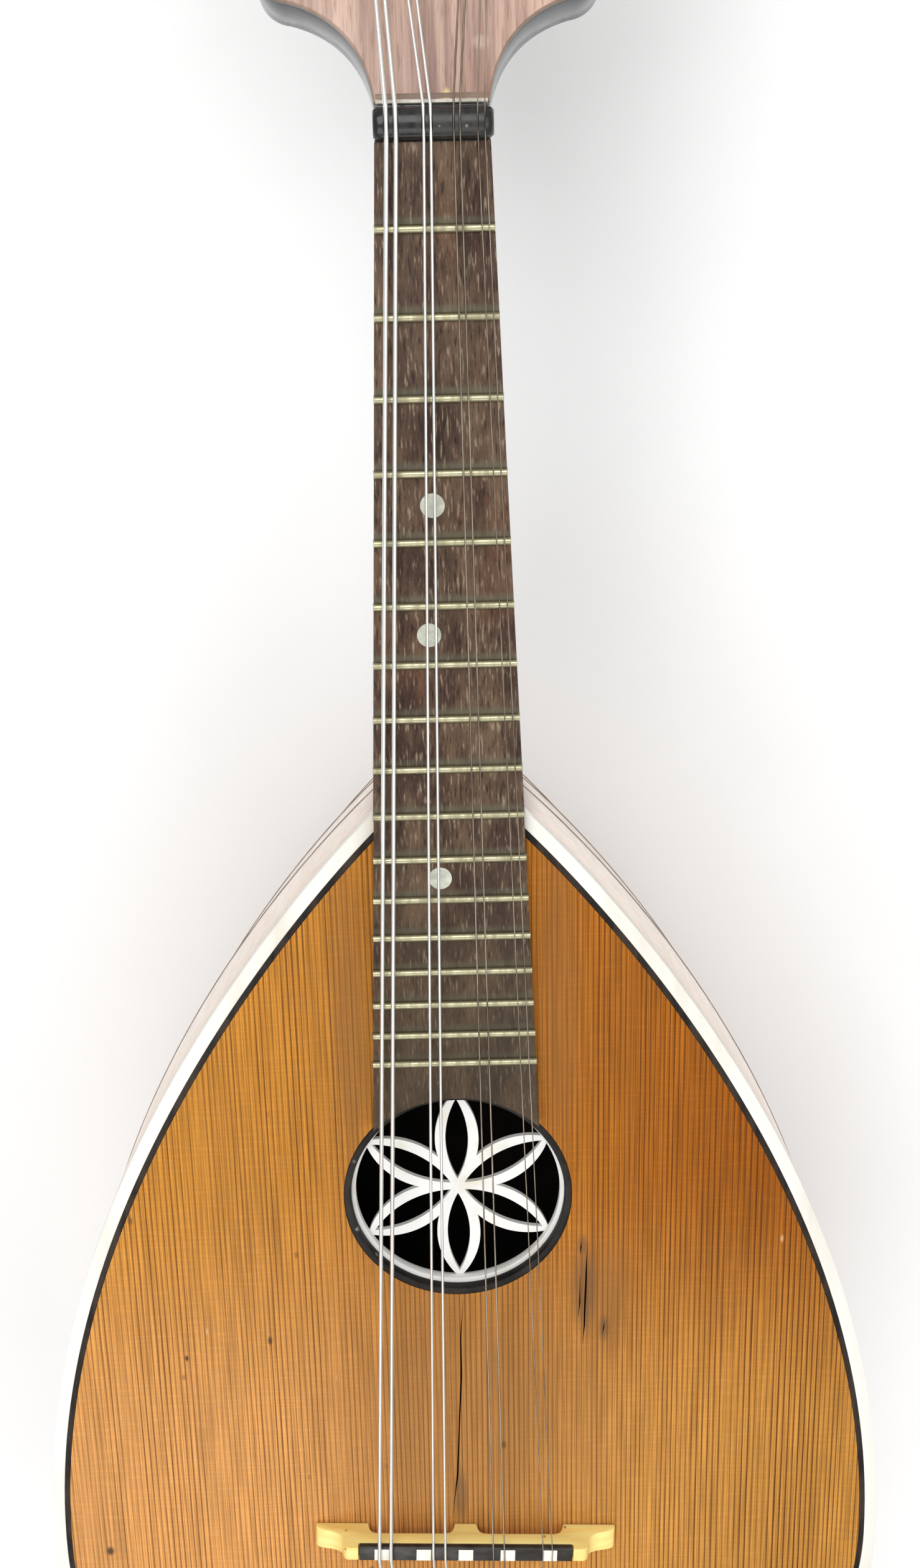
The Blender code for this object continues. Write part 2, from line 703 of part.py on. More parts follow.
def make_rosette():
    """A flower of looped strips under a rim that is glued to the soundboard."""
    top = FACE_Z - RIM_DROP
    petal_top = top - PETAL_DROP
    overlap = PETAL_THICKNESS / 4
    rims = [on_body(circle(0, HOLE_ALONG, r, 32)) for r in (ROSETTE_RIM_OUTER, ROSETTE_RIM_INNER)]
    rosette = add_object(
        "rosette", slab_mesh("rosette", rims, petal_top - overlap, top), IVOROID
    )
    plate = circle(0, HOLE_ALONG, ROSETTE_RIM_OUTER - FLOWER_EDGE_SETBACK, 32)
    outlines = [on_body(outline) for outline in (plate, *flower_openings())]
    bm = bmesh.new()
    bm.from_mesh(slab_mesh("flower", outlines, petal_top - PETAL_THICKNESS, petal_top))
    boolean(rosette, cutter("flower_plate", bm), "UNION")


# ---- fingerboard ----
def fingerboard_half_width(along):
    """Half the fingerboard's width at a distance from the nut."""
    return FINGERBOARD_NUT_HALF_WIDTH + FINGERBOARD_FLARE * along


def make_fingerboard():
    """A tapered board whose end follows the sound hole, with a slot for each fret."""
    start = NUT_FRONT + CLEARANCE
    radius = HOOP_OUTER_RADIUS + CLEARANCE
    across = fingerboard_half_width(HOLE_ALONG - radius)
    sweep = math.asin(across / radius)
    arc = []
    for i in range(13):
        turn = sweep - 2 * sweep * i / 12
        arc.append(Vector((radius * math.sin(turn), HOLE_ALONG - radius * math.cos(turn))))
    width = fingerboard_half_width(start)
    outline = [Vector((-width, start)), Vector((width, start)), *arc]
    mesh = slab_mesh("fingerboard", [on_body(outline)], FACE_Z + CLEARANCE, FACE_Z + FINGERBOARD_TOP)
    board = add_object("fingerboard", mesh, ROSEWOOD)
    bm = bmesh.new()
    half = FRET_TANG / 2 + CLEARANCE
    bottom = FINGERBOARD_TOP - FRET_TANG_DEPTH
    for number in range(1, FRET_COUNT + 1):
        along = fret_along(number)
        side = fingerboard_half_width(along) + CUT_MARGIN
        top = FINGERBOARD_TOP + CUT_MARGIN
        add_box(bm, at(-side, along + half, bottom - CLEARANCE), at(side, along - half, top))
    boolean(board, cutter("fret_slots", bm), "DIFFERENCE")


def make_fret(number):
    """A fret wire with a rounded crown, a tang in its slot and ends filed at a slope."""
    along = fret_along(number)
    base = FINGERBOARD_TOP + CLEARANCE
    half = FRET_TANG / 2
    profile = [(-half, -FRET_TANG_DEPTH), (half, -FRET_TANG_DEPTH), (half, 0.0)]
    for i in range(7):
        turn = math.pi * i / 6
        profile.append((FRET_HALF_WIDTH * math.cos(turn), FRET_HEIGHT * math.sin(turn)))
    profile.append((-half, 0.0))
    width = fingerboard_half_width(along) - CLEARANCE
    bm = bmesh.new()
    loft(bm, [
        [
            at(side * (width - FRET_END_SLOPE * max(z, 0.0)), along + y, base + z)
            for y, z in profile
        ]
        for side in (-1, 1)
    ])
    name = f"fret_{number:02d}"
    add_object(name, bmesh_mesh(name, bm), BRASS, smooth=50)


def make_nut():
    """The black bar that the strings cross at the end of the fingerboard."""
    middle = (NUT_FRONT - NUT_BACK) / 2
    half = (NUT_FRONT + NUT_BACK) / 2
    shoulder = NUT_TOP * NUT_SHOULDER
    profile = [(-half, CLEARANCE), (half, CLEARANCE)]
    for i in range(7):
        turn = math.pi * i / 6
        profile.append((half * math.cos(turn), shoulder + (NUT_TOP - shoulder) * math.sin(turn)))
    bm = bmesh.new()
    loft(bm, [
        [at(x, middle + y, z) for y, z in profile] for x in (-NUT_LEFT, NUT_RIGHT)
    ])
    nut = add_object("nut", bmesh_mesh("nut", bm), EBONY, smooth=50)
    bm = bmesh.new()
    for across, gauge in zip(NUT_SPREAD, GAUGES):
        half = gauge / 2 + CLEARANCE
        level = string_height_at_nut(gauge) - half
        add_box(
            bm, at(across - half, NUT_FRONT + CUT_MARGIN, level),
            at(across + half, -NUT_BACK - CUT_MARGIN, NUT_TOP + CUT_MARGIN),
        )
    boolean(nut, cutter("nut_slots", bm), "DIFFERENCE")


# ---- neck and headstock ----
def make_head_frame():
    """The frame of the headstock: Y along its face, Z out of its wood, leaning back."""
    frame = bpy.data.objects.new("head_frame", None)
    PARTS.objects.link(frame)
    frame.location = at(0, -NUT_BACK, 0)
    frame.rotation_euler = (-HEAD_ANGLE, 0, 0)
    return frame


def head_outline(start):
    """The headstock's edge in its own frame: a waist, flared shoulders and a curved end."""
    waist = fingerboard_half_width(0)
    inner = HEAD_HALF_WIDTH - HEAD_CORNER_WIDTH
    shoulder = bezier((
        (waist, start), (waist + HEAD_WAIST_PULL[0], HEAD_WAIST_PULL[1]),
        (waist + HEAD_FLARE_PULL[0], HEAD_FLARE_PULL[1]), (inner, HEAD_SHOULDER),
    ), 8)
    corner = bezier((
        (inner, HEAD_SHOULDER),
        (HEAD_HALF_WIDTH - HEAD_CORNER_PULL[0], HEAD_SHOULDER + HEAD_CORNER_PULL[1]),
        (HEAD_HALF_WIDTH, HEAD_SHOULDER + HEAD_CORNER_RISE_PULL),
        (HEAD_HALF_WIDTH, HEAD_SHOULDER + HEAD_CORNER_RISE),
    ), 4)
    end = bezier((
        (HEAD_END_HALF_WIDTH, HEAD_LENGTH - HEAD_END_CORNER),
        (HEAD_END_HALF_WIDTH - HEAD_END_PULL[0], HEAD_LENGTH - HEAD_END_PULL[1]),
        (HEAD_END_HALF_WIDTH * HEAD_END_DIP_SHARE, HEAD_LENGTH - HEAD_END_DIP),
        (0.0, HEAD_LENGTH),
    ), 8)
    return mirrored(shoulder + corner[1:] + end)


def post_places():
    """(name, side, across, distance up the headstock) for every tuner."""
    places = []
    for side, label in ((-1, "left"), (1, "right")):
        for i in range(TUNERS_PER_SIDE):
            places.append((f"{label}_{i + 1}", side, side * POST_ACROSS, FIRST_POST + TUNER_PITCH * i))
    return places


def post_holes(clearance, count=10):
    """A round hole for each post."""
    return [circle(x, y, POST_RADIUS + clearance, count) for _, _, x, y in post_places()]


def make_neck(frame):
    """One piece of wood for the neck, its heel and the leaning headstock."""
    bm = bmesh.new()
    sunk = section(SCARF_HALF_WIDTH, SCARF_DEPTH, RIB_COUNT, -SCARF_DROP)
    rings = [[at(x, -NUT_BACK - SCARF_LENGTH, z) for x, z in sunk]]
    stops = [-NUT_BACK + share * (NECK_DEEPENS_AT + NUT_BACK) for share in NECK_STATIONS]
    stops += [NECK_DEEPENS_AT + share * HEEL_LENGTH for share in HEEL_STATIONS]
    for along in (*stops, JOINT_ALONG - CLEARANCE / 2):
        share = max(0.0, (along - NECK_DEEPENS_AT) / (JOINT_ALONG - NECK_DEEPENS_AT))
        depth = NECK_DEPTH + NECK_THICKENING * max(along, 0) / NECK_DEEPENS_AT
        depth += (HEEL_DEPTH + RIM_DROP - depth) * share**HEEL_CURVE
        ring = section(fingerboard_half_width(along), depth, RIB_COUNT)
        rings.append([at(x, along, z) for x, z in ring])
    loft(bm, rings)
    neck = add_object("neck", bmesh_mesh("neck", bm), NECK_WOOD)
    head = slab_mesh(
        "head", [head_outline(0.0), *post_holes(POST_HOLE_CLEARANCE)], -HEAD_THICKNESS, 0.0
    )
    bm = bmesh.new()
    bm.from_mesh(head)
    boolean(neck, cutter("head_slab", bm, frame), "UNION")


def make_veneer(frame):
    """The thin facing on the front of the headstock."""
    outline = head_outline(VENEER_START)
    mesh = slab_mesh(
        "head_veneer", [outline, *post_holes(POST_HOLE_CLEARANCE)], CLEARANCE, VENEER_TOP
    )
    add_object("head_veneer", mesh, HEAD_WOOD, frame)


# ---- tuners ----
def gear_mesh():
    """A toothed wheel whose teeth lean to suit the worm's thread."""
    lean = math.atan(THREAD_PITCH / (2 * math.pi * WORM_PITCH_RADIUS))
    tip = GEAR_PITCH_RADIUS + ADDENDUM
    root = GEAR_PITCH_RADIUS - GEAR_ROOT_DROP
    rings = []
    for level in (-1, 0, 1):
        height = level * GEAR_THICKNESS / 2
        twist = height * math.tan(lean) / GEAR_PITCH_RADIUS
        ring = []
        for tooth in range(GEAR_TEETH):
            middle = math.pi / 2 + 2 * math.pi * (tooth + 0.5) / GEAR_TEETH + twist
            for radius, width, side in (
                (root, TOOTH_WIDTH * 1.35, -1), (tip, TOOTH_WIDTH * 0.7, -1),
                (tip, TOOTH_WIDTH * 0.7, 1), (root, TOOTH_WIDTH * 1.35, 1),
            ):
                turn = middle + side * width / 2 / radius
                ring.append(Vector((radius * math.cos(turn), radius * math.sin(turn), height)))
        rings.append(ring)
    bm = bmesh.new()
    loft(bm, [rings[0], rings[2]])
    return bm


def make_post_mesh():
    """String post, gear and retaining screw head, turned about the head frame's Z."""
    neck = POST_RADIUS * 0.75
    screw_end = WORM_LEVEL - GEAR_THICKNESS / 2 - POST_SCREW_HEAD
    profile = [
        (0.0, POST_HEIGHT), (POST_RADIUS - POST_CHAMFER, POST_HEIGHT),
        (POST_RADIUS, POST_HEIGHT - POST_CHAMFER), (POST_RADIUS, COIL_HIGH),
        (COIL_RADIUS, COIL_HIGH - COIL_ROUNDING), (COIL_RADIUS, COIL_LOW + COIL_ROUNDING),
        (POST_RADIUS, COIL_LOW), (POST_RADIUS, WORM_LEVEL), (neck, WORM_LEVEL),
        (neck, screw_end), (0.0, screw_end - POST_SCREW_DOME),
    ]
    post = bpy.data.objects.new("post_pattern", turned_mesh("post_pattern", profile, 10))
    PARTS.objects.link(post)
    bm = gear_mesh()
    bmesh.ops.translate(bm, verts=bm.verts, vec=(0, 0, WORM_LEVEL))
    boolean(post, cutter("gear_pattern", bm), "UNION")
    return evaluated_mesh(post)


def thread_bmesh():
    """A right-handed worm thread along X, in mesh with the gear at its -Y side."""
    per_turn = 8
    steps = round(per_turn * (2 * WORM_HALF_LENGTH - THREAD_WIDTH) / THREAD_PITCH)
    inner = WORM_CORE_RADIUS - THREAD_ROOT_OVERLAP
    rings = []
    for i in range(steps + 1):
        turn = math.pi + 2 * math.pi * (i - steps / 2) / per_turn
        middle = THREAD_PITCH * (turn - math.pi) / (2 * math.pi)
        ring = []
        for radius, width, side in (
            (inner, THREAD_WIDTH * 1.4, -1), (WORM_TIP_RADIUS, THREAD_WIDTH * 0.65, -1),
            (WORM_TIP_RADIUS, THREAD_WIDTH * 0.65, 1), (inner, THREAD_WIDTH * 1.4, 1),
        ):
            ring.append(Vector((
                middle + side * width / 2, radius * math.cos(turn), radius * math.sin(turn)
            )))
        rings.append(ring)
    bm = bmesh.new()
    loft(bm, rings)
    return bm


def make_button_mesh():
    """Worm, shaft and flat oval button along +X, with the worm at the origin."""
    reach = HEAD_HALF_WIDTH - POST_ACROSS + BUTTON_STANDOFF
    middle = reach + BUTTON_HALF_SIZE[0]
    far = LUG_OFFSET + LUG_THICKNESS / 2 + SHAFT_STUB
    worm = WORM_HALF_LENGTH + WORM_RUNOUT
    profile = [
        (0.0, middle), (SHAFT_RADIUS, middle), (SHAFT_RADIUS, worm), (WORM_CORE_RADIUS, worm),
        (WORM_CORE_RADIUS, -worm), (SHAFT_RADIUS, -worm), (SHAFT_RADIUS, -far), (0.0, -far),
    ]
    shaft_mesh = turned_mesh("button_pattern", profile, 8)
    shaft_mesh.transform(Matrix.Rotation(math.pi / 2, 4, "Y"))
    shaft = bpy.data.objects.new("button_pattern", shaft_mesh)
    PARTS.objects.link(shaft)
    boolean(shaft, cutter("thread_pattern", thread_bmesh()), "UNION")
    bm = bmesh.new()
    place = Matrix.Translation((middle, 0, 0))
    size = Matrix.Diagonal((*BUTTON_HALF_SIZE, 1.0))
    upright = Matrix.Rotation(math.pi / 2, 4, "Y")
    bmesh.ops.create_uvsphere(
        bm, u_segments=10, v_segments=6, radius=1.0, matrix=place @ size @ upright
    )
    boolean(shaft, cutter("oval_pattern", bm), "UNION")
    return evaluated_mesh(shaft)


def make_tuners(frame):
    """Eight posts and eight buttons, each on its own axis, in mesh at rest."""
    post_mesh = make_post_mesh()
    button_mesh = make_button_mesh()
    for name, side, across, up in post_places():
        post = add_object(f"tuner_{name}_post", post_mesh, NICKEL, frame)
        post.location = (across, up, 0)
        button = add_object(f"tuner_{name}_button", button_mesh, IVOROID, frame)
        button.location = (across, up + GEAR_DISTANCE, WORM_LEVEL)
        if side < 0:
            button.rotation_euler = (0, math.pi, 0)


def make_tuner_plate(side, label, frame):
    """A plate on the back of the headstock with two drilled lugs for every worm shaft."""
    first, last = FIRST_POST, FIRST_POST + TUNER_PITCH * (TUNERS_PER_SIDE - 1)
    x = side * POST_ACROSS
    low, high = first - PLATE_MARGIN, last + PLATE_MARGIN + PLATE_END_EXTRA
    outline = [
        Vector(p) for p in (
            (x - PLATE_HALF_WIDTH, low), (x + PLATE_HALF_WIDTH, low),
            (x + PLATE_HALF_WIDTH, high), (x - PLATE_HALF_WIDTH, high),
        )
    ]
    holes = [
        circle(x, first + TUNER_PITCH * i, POST_RADIUS + CLEARANCE, 10)
        for i in range(TUNERS_PER_SIDE)
    ]
    name = f"tuner_plate_{label}"
    plate = add_object(
        name, slab_mesh(name, [outline, *holes], PLATE_BOTTOM, PLATE_TOP), NICKEL, frame
    )
    lugs, bores = bmesh.new(), bmesh.new()
    for i in range(TUNERS_PER_SIDE):
        y = first + TUNER_PITCH * i + GEAR_DISTANCE
        for offset in (-LUG_OFFSET, LUG_OFFSET):
            add_box(
                lugs,
                (x + offset - LUG_THICKNESS / 2, y - LUG_HALF_WIDTH, WORM_LEVEL - LUG_HALF_WIDTH),
                (x + offset + LUG_THICKNESS / 2, y + LUG_HALF_WIDTH, PLATE_BOTTOM + JOIN_OVERLAP),
            )
        add_cylinder(
            bores, (x - PLATE_HALF_WIDTH, y, WORM_LEVEL), (x + PLATE_HALF_WIDTH, y, WORM_LEVEL),
            SHAFT_RADIUS + JOURNAL_CLEARANCE, 8,
        )
    boolean(plate, cutter(f"lugs_{label}", lugs, frame), "UNION")
    boolean(plate, cutter(f"shaft_bores_{label}", bores, frame), "DIFFERENCE")


# ---- bridge, tail and strings ----
def bridge_profile():
    """Front view of the bridge above its feet, as (across, height), clockwise."""
    top, notch = BRIDGE_HEIGHT, BRIDGE_HEIGHT - SADDLE_HEIGHT - CLEARANCE
    near, far = ARCH_CORNER
    side = ARCH_HEIGHT * 0.75
    arch = [
        (ARCH_INNER, 0.0), (ARCH_INNER + near, side), (ARCH_INNER + far, ARCH_HEIGHT),
        (ARCH_OUTER - far, ARCH_HEIGHT), (ARCH_OUTER - near, side), (ARCH_OUTER, 0.0),
    ]
    wing = [
        (BRIDGE_HALF_LENGTH, 0.0), (BRIDGE_HALF_LENGTH, WING_TIP),
        (BRIDGE_HALF_LENGTH - WING_SHELF[0], WING_SHELF[1]),
        *((BRIDGE_SHOULDER + x, z) for x, z in WING_RISE), (BRIDGE_SHOULDER, top),
    ]
    seat = [(SADDLE_HALF_LENGTH + CLEARANCE, top), (SADDLE_HALF_LENGTH + CLEARANCE, notch)]
    right = arch + wing + seat
    return right + [(-x, z) for x, z in reversed(right)]


def bridge_depth(height):
    """Front and back of the bridge at a height, measured along the body."""
    share = height / BRIDGE_HEIGHT
    lean = (BRIDGE_BASE_DEPTH - BRIDGE_TOP_DEPTH) * share
    front = BRIDGE_FRONT + lean * FRONT_LEAN
    return front, front + BRIDGE_BASE_DEPTH - lean


def on_bridge(across, along, height):
    """World position of a place on the bridge, which stands slightly askew."""
    away = Vector((across, BRIDGE_ALONG - along, CLEARANCE + height))
    return at(BRIDGE_CENTRE, BRIDGE_ALONG, 0) + Matrix.Rotation(-BRIDGE_SKEW, 3, "Z") @ away


def make_bridge():
    """The footed maple bridge and the ebony strip let into its top."""
    profile = bridge_profile()
    bm = bmesh.new()
    loft(bm, [
        [on_bridge(x, bridge_depth(z)[side], z) for x, z in profile]
        for side in (0, 1)
    ])
    add_object("bridge", bmesh_mesh("bridge", bm), BRIDGE_WOOD)
    low, high = BRIDGE_HEIGHT - SADDLE_HEIGHT, BRIDGE_HEIGHT
    front, back = bridge_depth(low)
    outline = [
        (front, low), (back, low), (back, high - SADDLE_EDGE), (back - SADDLE_EDGE, high),
        (front + SADDLE_EDGE, high), (front, high - SADDLE_EDGE),
    ]
    bm = bmesh.new()
    loft(bm, [
        [on_bridge(x, y, z) for y, z in outline]
        for x in (-SADDLE_HALF_LENGTH, SADDLE_HALF_LENGTH)
    ])
    add_object("bridge_saddle", bmesh_mesh("bridge_saddle", bm), EBONY)


def string_height_at_nut(gauge):
    """Height of a string's centre where it crosses the nut."""
    return NUT_TOP - NUT_SLOT_DEPTH + gauge / 2


def make_string(number):
    """One string from its hook, over the saddle and through the nut to its post."""
    i = number - 1
    gauge = GAUGES[i]
    left = number <= TUNERS_PER_SIDE
    place = i if left else TUNERS_PER_SIDE + (2 * TUNERS_PER_SIDE - number)
    _, side, across, up = post_places()[place]
    frame = Matrix.Translation(at(0, -NUT_BACK, 0)) @ Matrix.Rotation(-HEAD_ANGLE, 4, "X")
    beside = across - side * (COIL_RADIUS + gauge / 2 + CLEARANCE)
    end = frame @ Vector((beside, up, (COIL_LOW + COIL_HIGH) / 2))
    lift = gauge / 2 + CLEARANCE
    nut_height = string_height_at_nut(gauge)
    points = [
        at(TAIL_SPREAD[i], HOOK_ALONG - HOOK_RADIUS * STRING_FROM_HOOK - CLEARANCE, STRING_END_HEIGHT),
        at(BRIDGE_SPREAD[i], BRIDGE_ALONG, SADDLE_TOP + lift),
        at(NUT_SPREAD[i], NUT_FRONT, nut_height),
        at(NUT_SPREAD[i], -NUT_BACK - CLEARANCE, nut_height),
        end,
    ]
    name = f"string_{number}"
    curve = bpy.data.curves.new(name, "CURVE")
    curve.dimensions = "3D"
    curve.bevel_depth = gauge / 2
    curve.bevel_resolution = 1
    curve.use_fill_caps = True
    spline = curve.splines.new("POLY")
    spline.points.add(len(points) - 1)
    for point, spot in zip(spline.points, points):
        point.co = (*spot, 1.0)
    string = bpy.data.objects.new(name, curve)
    PARTS.objects.link(string)
    add_object(name, evaluated_mesh(string), STEEL, smooth=60)


def make_tailpiece():
    """A bent metal plate over the tail with a leaning hook for each string."""
    low, high = CLEARANCE, CLEARANCE + TAILPIECE_THICKNESS
    back = TAIL_ALONG + CLEARANCE + TAILPIECE_THICKNESS
    half, flap = TAILPIECE_HALF_WIDTH, TAILPIECE_FLAP_HALF_WIDTH
    in_by, up_by = TAILPIECE_TAPER
    right = [
        (half - TAILPIECE_CORNER, TAILPIECE_FRONT), (half, TAILPIECE_FRONT + TAILPIECE_CORNER),
        (half - in_by, TAIL_ALONG - up_by), (flap, back),
    ]
    outline = right + [(-x, y) for x, y in reversed(right)]
    mesh = slab_mesh(
        "tailpiece", [on_body([Vector(p) for p in outline])], FACE_Z + low, FACE_Z + high
    )
    tailpiece = add_object("tailpiece", mesh, NICKEL)
    bm = bmesh.new()
    add_box(
        bm, at(-flap, back, -TAILPIECE_FLAP_DROP),
        at(flap, back - TAILPIECE_THICKNESS, high - JOIN_OVERLAP / 2),
    )
    boolean(tailpiece, cutter("tail_flap", bm), "UNION")
    bm = bmesh.new()
    for across in TAIL_SPREAD:
        add_cylinder(
            bm, at(across, HOOK_ALONG, low + JOIN_OVERLAP),
            at(across, HOOK_ALONG + HOOK_LEAN, HOOK_HEIGHT), HOOK_RADIUS, 8,
        )
    boolean(tailpiece, cutter("hooks", bm), "UNION")


def make_end_pin():
    """A turned strap pin whose stem goes through the bowl into the tail block."""
    edge, rim_end, waist = (PIN_LENGTH - depth for depth in PIN_EDGES)
    profile = [
        (0.0, PIN_LENGTH), (PIN_FACE_RADIUS, PIN_LENGTH), (PIN_HEAD_RADIUS, edge),
        (PIN_HEAD_RADIUS, rim_end), (PIN_WAIST_RADIUS, waist), (PIN_WAIST_RADIUS, PIN_FOOT),
        (PIN_HEAD_RADIUS * PIN_TAPER, CLEARANCE), (PIN_STEM_RADIUS, CLEARANCE),
        (PIN_STEM_RADIUS * PIN_TAPER, -PIN_STEM_LENGTH), (0.0, -PIN_STEM_LENGTH),
    ]
    pin = add_object("end_pin", turned_mesh("end_pin", profile, 16), EBONY, smooth=40)
    pin.location = at(0, TAIL_ALONG, -PIN_DROP)
    pin.rotation_euler = (math.pi / 2, 0, 0)


def main():
    """Build every part."""
    make_bowl()
    make_block("neck_block", JOINT_ALONG + CLEARANCE, JOINT_ALONG + BLOCK_LENGTH, False)
    make_block("tail_block", TAIL_BLOCK_START, TAIL_BLOCK_END, True)
    make_brace("brace_upper", UPPER_BRACE_ALONG)
    make_brace("brace_lower", LOWER_BRACE_ALONG)
    make_soundboard()
    make_binding()
    make_hoop()
    make_rosette()
    make_fingerboard()
    for number in range(1, FRET_COUNT + 1):
        make_fret(number)
    make_nut()
    frame = make_head_frame()
    make_neck(frame)
    make_veneer(frame)
    make_tuners(frame)
    for side, label in ((-1, "left"), (1, "right")):
        make_tuner_plate(side, label, frame)
    make_bridge()
    for number in range(1, 2 * TUNERS_PER_SIDE + 1):
        make_string(number)
    make_tailpiece()
    make_end_pin()


main()
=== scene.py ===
"""Looks of a bowl-backed lute with a flower sound hole and four double courses.

The instrument lies on its back. Places are in metres in the frame's axes: +X to the right as
seen from the front, +Y from the tail to the headstock and +Z out of the soundboard. Most shapes
are laid out as (across, along, height): across the centre line, along from the nut towards the
tail, and height above the face of the soundboard. The headstock has its own leaning axes.
"""

from __future__ import annotations

import logging
from dataclasses import dataclass, field
from enum import Enum
from functools import cached_property
from math import asin, atan, copysign, cos, pi, radians, sin, tan
from typing import Iterable, Protocol, Sequence

import bmesh
import bpy
from mathutils import Matrix, Vector


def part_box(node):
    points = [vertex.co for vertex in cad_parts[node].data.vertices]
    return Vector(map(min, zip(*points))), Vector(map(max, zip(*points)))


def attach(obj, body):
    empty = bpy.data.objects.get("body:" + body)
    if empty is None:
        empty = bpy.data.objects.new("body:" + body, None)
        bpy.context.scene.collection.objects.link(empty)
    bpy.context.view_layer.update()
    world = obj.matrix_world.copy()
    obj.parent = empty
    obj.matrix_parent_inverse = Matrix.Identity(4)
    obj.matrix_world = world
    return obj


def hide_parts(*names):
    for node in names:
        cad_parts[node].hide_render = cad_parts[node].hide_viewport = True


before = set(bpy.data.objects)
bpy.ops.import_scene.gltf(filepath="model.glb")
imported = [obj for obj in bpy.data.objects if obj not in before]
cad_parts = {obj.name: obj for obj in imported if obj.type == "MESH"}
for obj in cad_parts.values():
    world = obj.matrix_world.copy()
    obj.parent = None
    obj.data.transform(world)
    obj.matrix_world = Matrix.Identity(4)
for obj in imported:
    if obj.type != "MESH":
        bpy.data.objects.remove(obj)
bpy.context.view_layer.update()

LOG = logging.getLogger("lute")
ROOT = "root"
STRAIGHT = 1e-6
ONTO_X = Matrix.Rotation(pi / 2, 4, "Y")

Colour = tuple[float, float, float]
Outline = list[Vector]
Socket = bpy.types.NodeSocket
Mesh = bpy.types.Mesh
Material = bpy.types.Material
Mark = tuple[float, float, float, float]


class Coating(Protocol):
    """Anything that has a material."""

    material: Material


class Side(Enum):
    """The two sides of the headstock, as seen from the front."""

    LEFT = -1
    RIGHT = 1

    @property
    def label(self) -> str:
        """The word that the frame's names use for this side."""
        return self.name.lower()


# ---- node trees ----
class Sketch:
    """Shorthand for writing a node tree."""

    def __init__(self, tree: bpy.types.NodeTree) -> None:
        """Start on a tree."""
        self.tree = tree

    def node(
        self, kind: str, inputs: dict[int | str, object] | None = None, **settings: object
    ) -> bpy.types.Node:
        """Add a node.

        Args:
            kind: the node's type name.
            inputs: a value or a socket for each named or numbered input.
            settings: the node's own properties.

        Returns:
            The new node.
        """
        made = self.tree.nodes.new(kind)
        for name, value in settings.items():
            setattr(made, name, value)
        for name, value in (inputs or {}).items():
            if isinstance(value, Socket):
                self.tree.links.new(value, made.inputs[name])
            else:
                made.inputs[name].default_value = value
        return made

    def math(self, operation: str, *values: float | Socket) -> Socket:
        """One step of arithmetic on numbers or sockets."""
        inputs = dict(enumerate(values))
        return self.node("ShaderNodeMath", inputs, operation=operation).outputs[0]


